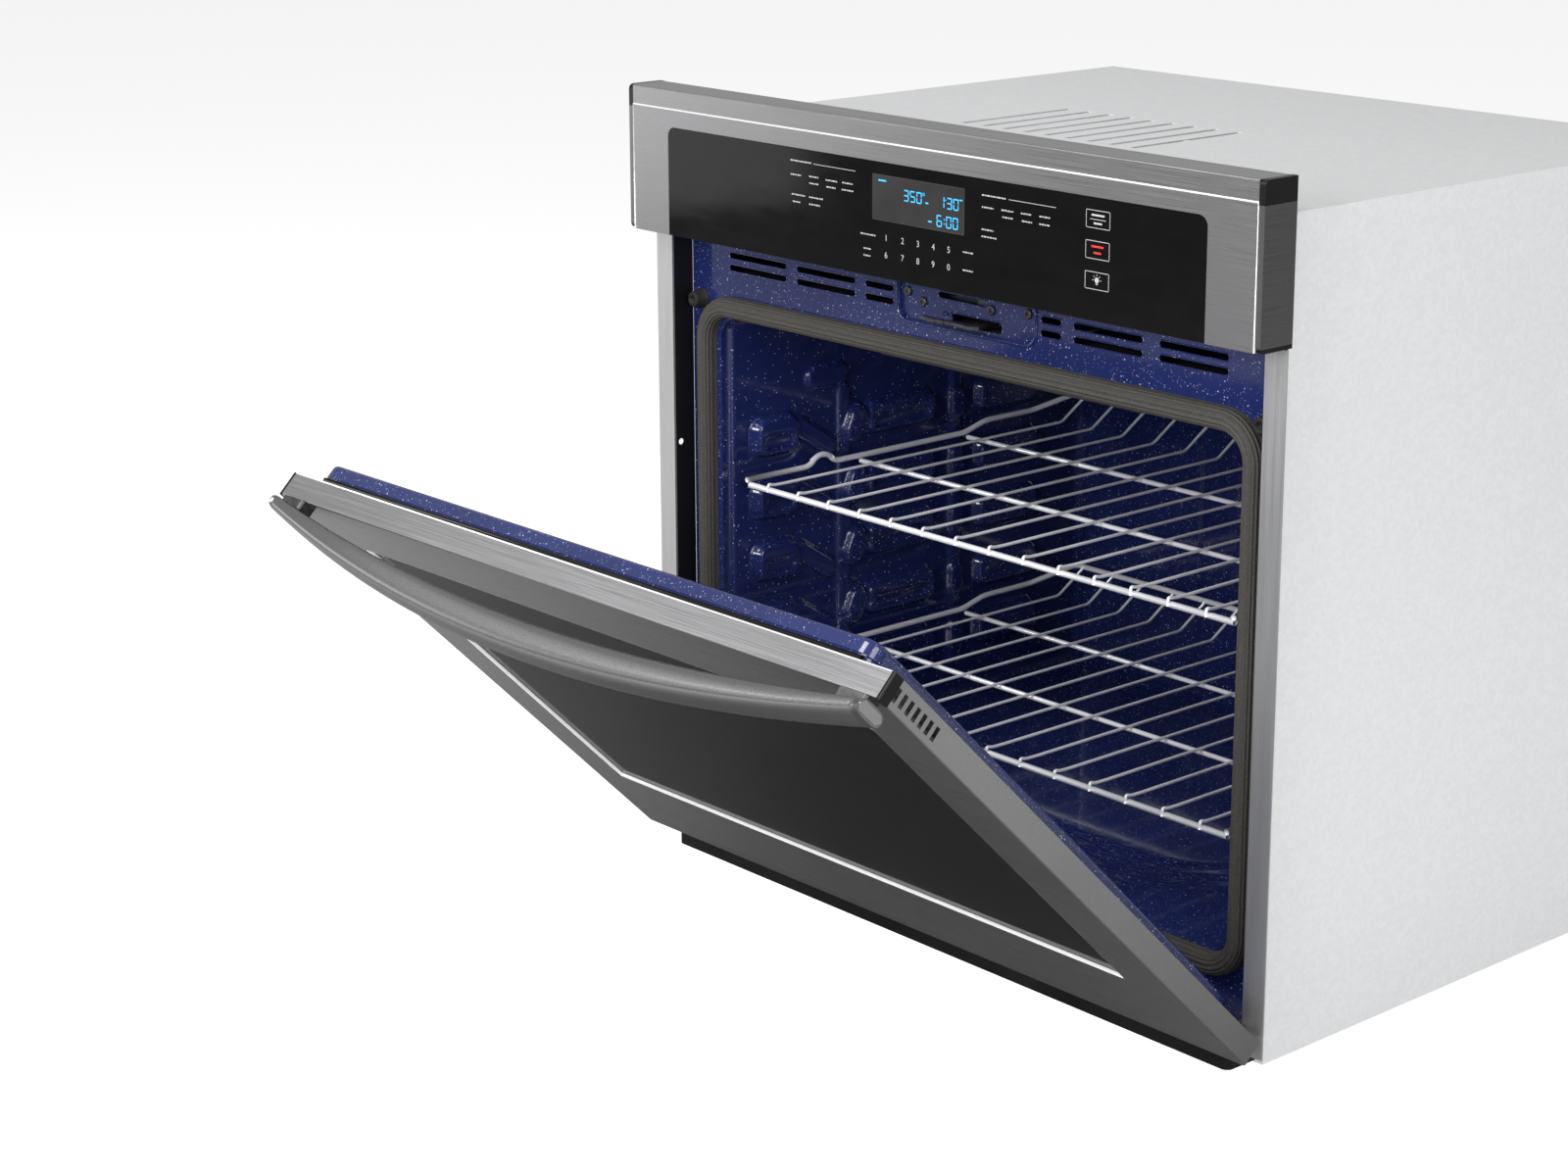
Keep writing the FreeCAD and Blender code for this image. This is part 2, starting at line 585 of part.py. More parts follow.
def control_board():
    """Touch board on the glass's back and the processor board behind the display."""
    board = box(-290, 290, FRONT_Y + 17, FRONT_Y + 18.6, 612, 694)
    chips = [box(x, x + 14, FRONT_Y + 18.5, FRONT_Y + 21, 630, 644) for x in (-200, -60, 40, 150)]
    plug = box(180, 230, FRONT_Y + 18.5, FRONT_Y + 28, 668, 680)
    pads = [box(x - 20, x + 20, FRONT_Y + GLASS + 0.2, FRONT_Y + 17.1, 618, 690) for x in (-120, 120, 209)]
    return fuse([board, plug] + chips + pads)


# ---- latch -----------------------------------------------------------------------------
def latch_bracket():
    """Flange screwed behind the front plate, with two shelves that carry the hook's pin."""
    y0, y1 = PLATE_BACK + 3 + GAP, 82
    shelf_low = box(-72, 82, y0, y1, LATCH_PIVOT.z - 5.2, LATCH_PIVOT.z - 4)
    shelf_high = box(-72, 82, y0, y1, LATCH_PIVOT.z + 4, LATCH_PIVOT.z + 5.2)
    back = box(-72, 82, y1 - 1.2, y1, LATCH_PIVOT.z - 5.2, LATCH_PIVOT.z + 5.2)
    flange = box(-74, 85, y0, y0 + 1.2, LATCH_PIVOT.z - 6.5, 584)
    flange = flange.cut(rounded(-14, 46, 0, 50, 557, 567, 3)).cut(slot(-32, 30, 581, 0, 50))
    bracket = fuse([shelf_low, shelf_high, back, flange])
    bracket = bracket.cut(cylinder(LATCH_PIVOT - Z_AXIS * 10, Z_AXIS, 3 + RUNNING, 20))
    for x, z in LATCH_SCREWS:
        bracket = bracket.cut(cylinder(V(x, 0, z), Y_AXIS, 2.2, 50))
    return bracket


def latch_hook():
    """Door hook on its pin: a boss, an arm through the slot and a barb to the left."""
    z0 = LATCH_PIVOT.z - HOOK_T / 2
    outline = [(31, 46), (31, 14), (26, 8.5), (2, 10.5), (-22, 9.0), (-40, 12.5), (-36, 15.0)]
    outline += [(-20, 14.5), (2, 17.5), (17, 19), (17, 46)]
    corners = [V(x, y, z0) for x, y in outline]
    arm = Part.Face(Part.makePolygon(corners + corners[:1])).extrude(V(0, 0, HOOK_T))
    boss = cylinder(V(LATCH_PIVOT.x, LATCH_PIVOT.y, z0), Z_AXIS, 9, HOOK_T)
    pin = cylinder(LATCH_PIVOT - Z_AXIS * 7, Z_AXIS, 3, 14)
    return fuse([arm, boss, pin])


def latch_motor():
    """Small gear motor that turns the hook."""
    z0 = LATCH_PIVOT.z + 7.4
    gearbox = box(6, 62, 38, 78, z0, z0 + 14)
    can = cylinder(V(-2, 58, z0 + 9), -X_AXIS, 9, 46)
    neck = cylinder(V(6.5, 58, z0 + 7), -X_AXIS, 5, 10)
    return fuse([gearbox, can, neck])


# ---- hinges ----------------------------------------------------------------------------
def hinge_arm():
    """Right fixed hinge arm: pin eye in front, hooked claw in the receiver behind."""
    bar = box(ARM_X0, ARM_X1, PIVOT.y, 72, PIVOT.z - 6, PIVOT.z + 6)
    eye = cylinder(V(ARM_X0, PIVOT.y, PIVOT.z), X_AXIS, 6, ARM_X1 - ARM_X0)
    claw = bar.fuse(eye).cut(box(ARM_X0 - 1, ARM_X1 + 1, 44, 50, PIVOT.z - 7, PIVOT.z - 1))
    return claw.cut(cylinder(V(ARM_X0 - 1, PIVOT.y, PIVOT.z), X_AXIS, PIN_R + RUNNING, 10))


def hinge_receiver():
    """Channel in the chassis that the claw hooks into."""
    shell = box(348, BODY_IN - GAP, PLATE_BACK + GAP, 92, PIVOT.z - 9.5, PIVOT.z + 9.5)
    shell = shell.cut(box(349.5, BODY_HALF, 0, 90.5, PIVOT.z - 8, PIVOT.z + 8))
    roller = box(349, BODY_IN - GAP, 45, 49, PIVOT.z - 9.5, PIVOT.z - 1.5)
    return shell.fuse(roller)


def hinge_body():
    """Right moving half of the hinge: a channel inside the door with two ears on the pin."""
    x0, x1, wall = HINGE_X0, HINGE_X1, 2.0
    outline = [(-30.5, 240), (-10.5, 240), (-10.5, 55), (-5, 41), (-8, 35.5), (-14, 35.5), (-30.5, 50)]
    plates = []
    for x in (x0, x1 - wall):
        ear = cylinder(V(x, PIVOT.y, PIVOT.z), X_AXIS, 6.2, wall)
        plates.append(profile_x(outline, x, x + wall).fuse(ear))
    web = box(x0, x1, -30.5, -30.5 + wall, 60, 240)
    body = fuse(plates + [web])
    return body.cut(cylinder(V(x0 - 1, PIVOT.y, PIVOT.z), X_AXIS, PIN_R, 20))


def hinge_pin():
    pin = cylinder(V(HINGE_X0 - 1.4, PIVOT.y, PIVOT.z), X_AXIS, PIN_R, HINGE_X1 - HINGE_X0 + 2.8)
    heads = [cylinder(V(x, PIVOT.y, PIVOT.z), X_AXIS, 5, 1.3) for x in (HINGE_X0 - 1.4, HINGE_X1 + 0.1)]
    return fuse([pin] + heads)


def hinge_spring():
    """Balance spring of the right hinge, in the channel inside the door."""
    coil = Part.makeHelix(SPRING_H / 15, SPRING_H, SPRING_R)
    section = Part.Wire(Part.makeCircle(SPRING_WIRE_R, V(SPRING_R, 0, 0), Y_AXIS))
    spring = Part.Wire(coil.Edges).makePipeShell([section], True, True)
    spring.translate(V((HINGE_X0 + HINGE_X1) / 2, -20, SPRING_Z0))
    return spring


# ---- door ------------------------------------------------------------------------------
def door_skin():
    """Stainless outer shell of the door: face, four sides and a turned-in rear edge."""
    shell = box(-HALF, HALF, FRONT_Y, SKIN_BACK, DOOR_Z0, DOOR_Z1)
    face_edges = [e for e in shell.Edges if abs(e.CenterOfMass.y - FRONT_Y) < 0.1]
    shell = shell.makeFillet(1.6, face_edges)
    half, z0, z1 = HALF - SKIN, DOOR_Z0 + SKIN, DOOR_Z1 - SKIN
    shell = shell.cut(box(-half, half, FRONT_Y + SKIN, SKIN_BACK - SKIN, z0, z1))
    shell = shell.cut(box(-LINER_HALF - 1, LINER_HALF + 1, -15, 0, DOOR_Z0 - 1, LINER_Z1 + 0.6))
    shell = shell.cut(box(-half, half, -15, 0, z0, DOOR_Z0 + 32))
    half, z0, z1 = WINDOW_HALF, WINDOW_Z0, WINDOW_Z1
    lip = box(-half - SKIN, half + SKIN, FRONT_Y + 0.2, FRONT_Y + 3, z0 - SKIN, z1 + SKIN)
    shell = shell.fuse(lip).cut(box(-half, half, FRONT_Y - 1, 0, z0, z1))
    for side in (-1, 1):
        corner = box(HALF - 3.5, HALF + 1, FRONT_Y - 1, 0, DOOR_Z1 - 10.5, DOOR_Z1 + 1)
        notch = box(HINGE_X0 - 2, HINGE_X1 + 2, -22, 0, DOOR_Z0 - 1, DOOR_Z0 + 2)
        y0, y1 = FRONT_Y + 5.5, FRONT_Y + 16.5
        vents = [box(HALF - 3, HALF + 1, y0, y1, z - 2.2, z + 2.2) for z in door_vents()]
        for cutter in [corner, notch] + vents:
            shell = shell.cut(cutter if side > 0 else mirrored(cutter))
    return shell


def door_vents():
    """Heights of the seven short slots near the top of each door side."""
    return [DOOR_Z0 + 498 + 8.65 * n for n in range(7)]


def door_corner_caps():
    """Black plastic caps that close the upper corners of the skin."""
    cap = box(HALF - 3.4, HALF + 0.2, FRONT_Y - 0.2, SKIN_BACK, DOOR_Z1 - 10.4, DOOR_Z1 + 0.2)
    outer = [e for e in cap.Edges if e.BoundBox.XMin > HALF and e.BoundBox.ZMin > DOOR_Z1]
    return pair(cap.makeFillet(1.5, outer))


def dish(half, y0, y1, z0, z1, r, edge, inset):
    """A block with rounded corners r and a rounded rear edge, smaller by inset all round."""
    t = inset
    block = rounded(-half + t, half - t, y0, y1 - t, z0 + t, z1 - t, r - t)
    return block.makeFillet(edge - t, [e for e in block.Edges if abs(e.CenterOfMass.y - y1 + t) < 0.1])


def hem(y0, y1, inset):
    """Front part of the liner, a rounded block smaller by inset than the liner's outline."""
    half = LINER_HALF - inset
    return rounded(-half, half, y0, y1, LINER_Z0 + inset, LINER_Z1 - inset, 12)


def door_liner():
    """Enamelled inner pan of the door, with a raised field that enters the cavity mouth."""
    outside = [hem(SKIN_BACK + GAP, HEM_BACK + 2, HEM_IN)]
    outside.append(dish(LINER_HALF, HEM_BACK, LINER_BACK, LINER_Z0, LINER_Z1, 14, 4, 0))
    outside.append(dish(PLUG_HALF, LINER_BACK - 8, PLUG_BACK, PLUG_Z0, PLUG_Z1, 30, 5, 0))
    inside = [hem(SKIN_BACK - 5, HEM_BACK + 2 + ENAMEL, HEM_IN + ENAMEL)]
    y0 = HEM_BACK + ENAMEL
    inside.append(dish(LINER_HALF, y0, LINER_BACK, LINER_Z0, LINER_Z1, 14, 4, ENAMEL))
    inside.append(dish(PLUG_HALF, LINER_BACK - 9, PLUG_BACK, PLUG_Z0, PLUG_Z1, 30, 5, ENAMEL))
    liner = fuse(outside).cut(fuse(inside))
    port = rounded(-PORT_HALF, PORT_HALF, 0, 50, PORT_Z0, PORT_Z1, 12)
    latch = rounded(-70, 58, 0, 50, LATCH_PIVOT.z - 8, LATCH_PIVOT.z + 8, 3)
    return liner.cut(port).cut(latch)


def door_insulation():
    blanket = box(-336, 336, -22, 8, LINER_Z0 + 8, LATCH_PIVOT.z - 16)
    return blanket.cut(box(-270, 270, -40, 40, PORT_Z0 - 28, PORT_Z1 + 28))


def window_block(margin, y0, y1):
    """A block over the inner window's clear opening and a margin round it."""
    return box(-PORT_HALF - margin, PORT_HALF + margin, y0, y1, PORT_Z0 - margin, PORT_Z1 + margin)


def outer_glass():
    half, front = WINDOW_HALF + 10, FRONT_Y + 3.2
    return box(-half, half, front, front + GLASS, WINDOW_Z0 - 8, WINDOW_Z1 + 8)


def middle_glass():
    return window_block(12, -6.8, -6.8 + GLASS)


def inner_glass():
    back = PLUG_BACK - ENAMEL - 0.2
    return window_block(12, back - GLASS, back)


def window_frame():
    """Steel tray that holds the middle and inner panes to the liner."""
    back = PLUG_BACK - ENAMEL - 0.2
    ring = window_block(20, -8, back).cut(window_block(20 - SHEET, -8 + SHEET, back + 1))
    return ring.cut(window_block(0, -9, back))


def bow(at_end, at_middle):
    """Arc in the X-Y plane from end to end of the handle, by its distance from the door's face."""
    ends = [V(side * GRIP_HALF, FRONT_Y - at_end, GRIP_Z0) for side in (-1, 1)]
    return Part.Arc(ends[0], V(0, FRONT_Y - at_middle, GRIP_Z0), ends[1]).toShape()


def handle_bar():
    """Bowed bar: the plan between two arcs, as tall as the grip, with rounded long edges."""
    rear = bow(GRIP_END_BACK, GRIP_MID_BACK)
    front = bow(GRIP_END_FRONT, GRIP_MID_FRONT)
    ends = []
    for n in (0, -1):
        ends.append(Part.LineSegment(rear.Vertexes[n].Point, front.Vertexes[n].Point).toShape())
    outline = Part.Wire(Part.__sortEdges__([rear, ends[1], front, ends[0]]))
    bar = Part.Face(outline).extrude(V(0, 0, GRIP_Z1 - GRIP_Z0))
    long_edges = [e for e in bar.Edges if e.Length > WIDTH / 2]
    return bar.makeFillet(GRIP_R, long_edges)


def handle_feet():
    """Two short feet between the ends of the bar and the door's face."""
    x0, x1, front = GRIP_HALF - 34, GRIP_HALF - 4, FRONT_Y - GRIP_END_BACK
    foot = rounded(x0, x1, front - 4, FRONT_Y, GRIP_Z0 + 7, GRIP_Z1 - 7, 3)
    foot = foot.cut(handle_bar()).cut(box(0, HALF, FRONT_Y - 30, front - 3.9, 0, HEIGHT))
    foot = max(foot.Solids, key=lambda s: s.Volume)
    return pair(foot)


# ---- racks -----------------------------------------------------------------------------
def rack(level):
    """Wire rack: a rail frame with a raised rear lip, three cross bars and the wires on them."""
    half, lip = RACK_HALF, level + LIP_UP
    side = ((RACK_FRONT - 3, 0),) + HUMP + REAR_STEP
    right = [V(half, y, level + RAIL_UP + dz) for y, dz in side]
    right.append(V(LIP_HALF, LIP_BACK, lip))
    left = [V(-p.x, p.y, p.z) for p in reversed(right)]
    pieces = [bent_rod(right + left, BAR_R, RACK_BEND)]
    for y in (RACK_FRONT,) + RACK_BARS:
        pieces.append(cylinder(V(-half + 1, y, level - BAR_DOWN), X_AXIS, BAR_R, 2 * half - 2))
    for n in range(WIRE_COUNT):
        x = (n - (WIRE_COUNT - 1) / 2) * WIRE_PITCH
        bend = [V(x, RACK_FRONT - 1, level), V(x, RACK_BACK, level), V(x, LIP_BACK, lip)]
        pieces.append(bent_rod(bend, WIRE_R, RACK_BEND))
        pieces.append(Part.makeSphere(NUB_R, V(x, RACK_FRONT, level)))
    return fuse(pieces)


# ---- writing the pieces ----------------------------------------------------------------
def opened(shape):
    """A piece of the closed door, turned to where the door rests."""
    shape = shape.copy()
    shape.rotate(PIVOT, X_AXIS, DOOR_OPEN)
    return shape


def build():
    nodes = {
        "base_pan": base_pan(),
        "side_panel_right": side_panel(),
        "side_panel_left": mirrored(side_panel()),
        "top_panel": top_panel(),
        "rear_panel": rear_panel(),
        "rear_screws": rear_screws(),
        "side_trim_right": side_trim(),
        "side_trim_left": mirrored(side_trim()),
        "bottom_trim": bottom_trim(),
        "front_plate": front_plate(),
        "front_plate_screws": front_plate_screws(),
        "door_bumpers": door_bumpers(),
        "door_gasket": door_gasket(),
        "cavity_right_wall": cavity_side(),
        "cavity_left_wall": mirrored(cavity_side()),
        "cavity_back_wall": cavity_back(),
        "cavity_top": cavity_sheet(CAVITY_Z1),
        "cavity_floor": cavity_floor(),
        "insulation_wrap": insulation_wrap(),
        "insulation_rear": insulation_rear(),
        "insulation_bottom": insulation_bottom(),
        "broil_element": broil_element(),
        "bake_element": bake_element(),
        "temperature_sensor": temperature_sensor(),
        "lamp_socket": lamp_socket(),
        "lamp_bulb": lamp_bulb(),
        "lamp_lens": lamp_lens(),
        "air_duct": air_duct(),
        "fan_housing": fan_housing(),
        "fan_motor": fan_motor(),
        "fan_wheel": fan_wheel(),
        "power_board": power_board(),
        "terminal_block": terminal_block(),
        "junction_box": junction_box(),
        "control_panel": control_panel(),
        "end_cap_right": end_cap(),
        "end_cap_left": mirrored(end_cap()),
        "control_glass": glass_outline(0.3, FRONT_Y, FRONT_Y + GLASS),
        "display_module": display_module(),
        "control_board": control_board(),
        "latch_bracket": latch_bracket(),
        "latch_motor": latch_motor(),
        "latch_hook": latch_hook(),
        "hinge_arms": pair(hinge_arm()),
        "hinge_receivers": pair(hinge_receiver()),
        "door_skin": opened(door_skin()),
        "door_corner_caps": opened(door_corner_caps()),
        "door_liner": opened(door_liner()),
        "door_insulation": opened(door_insulation()),
        "outer_glass": opened(outer_glass()),
        "middle_glass": opened(middle_glass()),
        "inner_glass": opened(inner_glass()),
        "window_frame": opened(window_frame()),
        "handle_bar": opened(handle_bar()),
        "handle_feet": opened(handle_feet()),
        "hinge_bodies": opened(pair(hinge_body())),
        "hinge_pins": opened(pair(hinge_pin())),
        "hinge_springs": opened(pair(hinge_spring())),
    }
    for name, level in RACK_LEVELS.items():
        nodes[name] = rack(level)
    return nodes


os.makedirs("parts", exist_ok=True)
for name, shape in build().items():
    shape.exportStep(f"parts/{name}.step")
    print(name, len(shape.Solids), shape.isValid(), round(shape.Volume))
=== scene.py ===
import json
import math
import bpy
from mathutils import Matrix, Vector


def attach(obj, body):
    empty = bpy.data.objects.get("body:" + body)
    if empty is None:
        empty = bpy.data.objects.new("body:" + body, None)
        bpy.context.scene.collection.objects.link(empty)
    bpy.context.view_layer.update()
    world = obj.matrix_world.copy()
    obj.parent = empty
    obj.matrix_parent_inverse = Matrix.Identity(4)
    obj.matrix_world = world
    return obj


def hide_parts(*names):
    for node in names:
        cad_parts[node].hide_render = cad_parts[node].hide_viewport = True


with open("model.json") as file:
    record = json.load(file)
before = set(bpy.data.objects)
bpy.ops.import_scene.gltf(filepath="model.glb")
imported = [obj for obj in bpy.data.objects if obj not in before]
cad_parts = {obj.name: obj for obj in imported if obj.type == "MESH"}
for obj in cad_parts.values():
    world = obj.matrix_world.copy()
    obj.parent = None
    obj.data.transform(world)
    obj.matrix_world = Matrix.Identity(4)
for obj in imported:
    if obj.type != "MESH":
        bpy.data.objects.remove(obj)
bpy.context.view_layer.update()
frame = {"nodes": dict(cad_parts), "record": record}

NODES = frame["nodes"]
SLOT_OF = {part["node"]: part["material_slot"] for part in frame["record"]["subparts"]}
MM = 0.001

# Layout of the oven, in millimetres: X right, Y into the cabinet, Z up.
FRONT_Y = -32.0
PIVOT = Vector((0, -8, 41))
DOOR_OPEN = math.radians(45.2)
CAVITY_HALF = 317.0
CAVITY_BACK = 505.0
CAVITY_Z = (84.3, 519.7)
PLATE_BACK = 24.7
CAVITY_FLOOR = 84.0
UPPER_LEVEL, LOWER_LEVEL = 363.0, 180.7
GUIDE_PITCH = (UPPER_LEVEL - LOWER_LEVEL) / 3
RAIL = ((39, 0), (117, 0), (126, 9), (140, 9), (149, 0), (322, 0), (352, 8), (418, 8))  # depth, rise
STOP_X, STOP_Z = 343, 533
VENT_ROWS = (567.0, 578.5)
VENT_SPANS = (
    (-303.6, -224.7), (-210.5, -132.7), (-119.6, -83.4), (94.9, 118.4), (132.3, 208.8), (226.9, 299.9),
)

# Handle: the height of its middle, half its length with and without the end plates, half its own height,
# and how far its back and its front stand off the door, at the ends and in the middle.
HANDLE_Z = 591
HANDLE_HALF = 372.0
GRIP_HALF = 371.4
GRIP_RISE = 15.0
GRIP_BACK = (3.2, 33.5)
GRIP_FRONT = (15.5, 60.5)

# Print on the control panel: its plane, the lit segments of each digit, and strokes as (left, right, height).
INK_Y = FRONT_Y - 0.06
SEGMENTS = {"0": "abcdef", "1": "bc", "3": "abcdg", "5": "acdfg", "6": "acdefg"}
LEGENDS = (
    (-155.1, -128.3, 688.4), (-155.1, -141.7, 676.2), (-131, -119.1, 676.8), (-109.8, -95.0, 676.2),
    (-88.9, -75.5, 676.4), (-131, -119.1, 671.0), (-108.8, -96.4, 670.4), (-89.4, -74.6, 670.4),
    (-153.8, -135.6, 659.0), (-131, -113.5, 658.9), (-152.4, -141.6, 652.8), (-131, -117.0, 652.8),
    (80, 107.1, 686.2), (80, 93.4, 676.4), (102.4, 116.0, 676.6), (124.5, 135.8, 676.7),
    (145.2, 157.8, 676.8), (103.6, 116.6, 671.0), (125.7, 137.0, 670.6), (145.2, 156.6, 670.6),
    (80, 93.4, 658.2), (80, 97.0, 652.4), (-65.6, -46.9, 636.2), (58.6, 70.5, 636.6),
    (-61.8, -51.5, 624.0), (-61.6, -51.9, 618.0), (58.6, 70.5, 621.6),
)

# Camera and studio, in metres and degrees, with the lens in millimetres.
# The shades are greys at shares of the reach.
CAMERA_AT = (1.901, -1.8291, 1.1009)
CAMERA_YAW, CAMERA_PITCH = 47.95, 14.86
CAMERA_LENS = 73.13
STUDIO_FLOOR_Z = -0.062
STUDIO_FLOOR_HALF = 60
FLOOR_REACH = 4.5
FLOOR_SHADES = (
    (0.04, 0.11), (0.10, 0.17), (0.20, 0.38), (0.34, 0.62), (0.56, 0.42), (0.80, 0.24), (1.0, 0.40),
)


# ---- camera, light and floor ---------------------------------------------------------------------
def make_camera():
    """Camera at the viewing angle, with a small shift."""
    yaw, pitch = math.radians(CAMERA_YAW), math.radians(CAMERA_PITCH)
    look = Vector((-math.sin(yaw) * math.cos(pitch), math.cos(yaw) * math.cos(pitch), -math.sin(pitch)))
    camera = bpy.data.objects.new("camera", bpy.data.cameras.new("camera"))
    bpy.context.scene.collection.objects.link(camera)
    camera.location = CAMERA_AT
    camera.rotation_mode = "QUATERNION"
    camera.rotation_quaternion = look.to_track_quat("-Z", "Y")
    camera.data.sensor_width = 36
    camera.data.lens = CAMERA_LENS
    camera.data.shift_x = -0.0358
    camera.data.shift_y = -0.05
    bpy.context.scene.camera = camera


def area_light(name, at, target, size, power):
    """Soft white light at one point that faces another."""
    lamp = bpy.data.lights.new(name, "AREA")
    lamp.shape = "RECTANGLE"
    lamp.size, lamp.size_y = size
    lamp.energy = power
    light = bpy.data.objects.new(name, lamp)
    bpy.context.scene.collection.objects.link(light)
    light.location = at
    light.rotation_mode = "QUATERNION"
    light.rotation_quaternion = (Vector(target) - Vector(at)).to_track_quat("-Z", "Y")


def floor_paint():
    """Pale to the eye; glossy rays see greys that change with the distance from the oven, as a painted
    reflection.
    """
    n = Nodes("studio_floor")
    n.set(roughness=0.9, specular=0.0, emission=(1, 1, 1, 1), emission_strength=0.12)
    distance = n.add("ShaderNodeVectorMath", operation="LENGTH")
    n.link(n.coordinates, distance.inputs[0])
    stops = [(place, grey(shade)) for place, shade in FLOOR_SHADES]
    mirrored = n.ramp(n.span(distance.outputs["Value"], 0, FLOOR_REACH), stops)
    path = n.add("ShaderNodeLightPath")
    n.colour(n.mixed(path.outputs["Is Glossy Ray"], (0.93, 0.93, 0.93), mirrored))
    seen = n.math("SUBTRACT", 1.0, path.outputs["Is Glossy Ray"])
    n.link(n.math("MULTIPLY", seen, 0.5), n.shader.inputs["Emission Strength"])
    return n.material


def make_studio():
    """A world that is brighter to the camera than as a light, four soft lights and the floor."""
    world = bpy.data.worlds.new("studio")
    bpy.context.scene.world = world
    world.use_nodes = True
    tree = world.node_tree
    seen = tree.nodes["Background"]
    seen.inputs["Color"].default_value = (1, 1, 1, 1)
    seen.inputs["Strength"].default_value = 1.0
    fill = tree.nodes.new("ShaderNodeBackground")
    fill.inputs["Color"].default_value = (1, 1, 1, 1)
    fill.inputs["Strength"].default_value = 0.42
    path = tree.nodes.new("ShaderNodeLightPath")
    mix = tree.nodes.new("ShaderNodeMixShader")
    tree.links.new(path.outputs["Is Camera Ray"], mix.inputs[0])
    tree.links.new(fill.outputs[0], mix.inputs[1])
    tree.links.new(seen.outputs[0], mix.inputs[2])
    tree.links.new(mix.outputs[0], tree.nodes["World Output"].inputs["Surface"])
    area_light("key", (-0.9, -2.6, 3.2), (0, 0, 0.4), (1.8, 1.8), 80)
    area_light("side", (2.8, -1.2, 1.8), (0, 0.1, 0.35), (1.2, 1.8), 28)
    area_light("left", (-3.5, -1.9, 0.55), (0, 0, 0.45), (1.7, 1.1), 8)
    area_light("front", (0.5, -2.4, 1.3), (0, 0.3, 0.3), (1.4, 0.7), 36)
    mesh = bpy.data.meshes.new("studio_floor")
    far = STUDIO_FLOOR_HALF
    corners = [(-far, -far, 0), (far, -far, 0), (far, far, 0), (-far, far, 0)]
    mesh.from_pydata(corners, [], [(0, 1, 2, 3)])
    floor = bpy.data.objects.new("studio_floor", mesh)
    bpy.context.scene.collection.objects.link(floor)
    floor.location.z = STUDIO_FLOOR_Z
    mesh.materials.append(floor_paint())
    bpy.context.scene.view_settings.view_transform = "Standard"


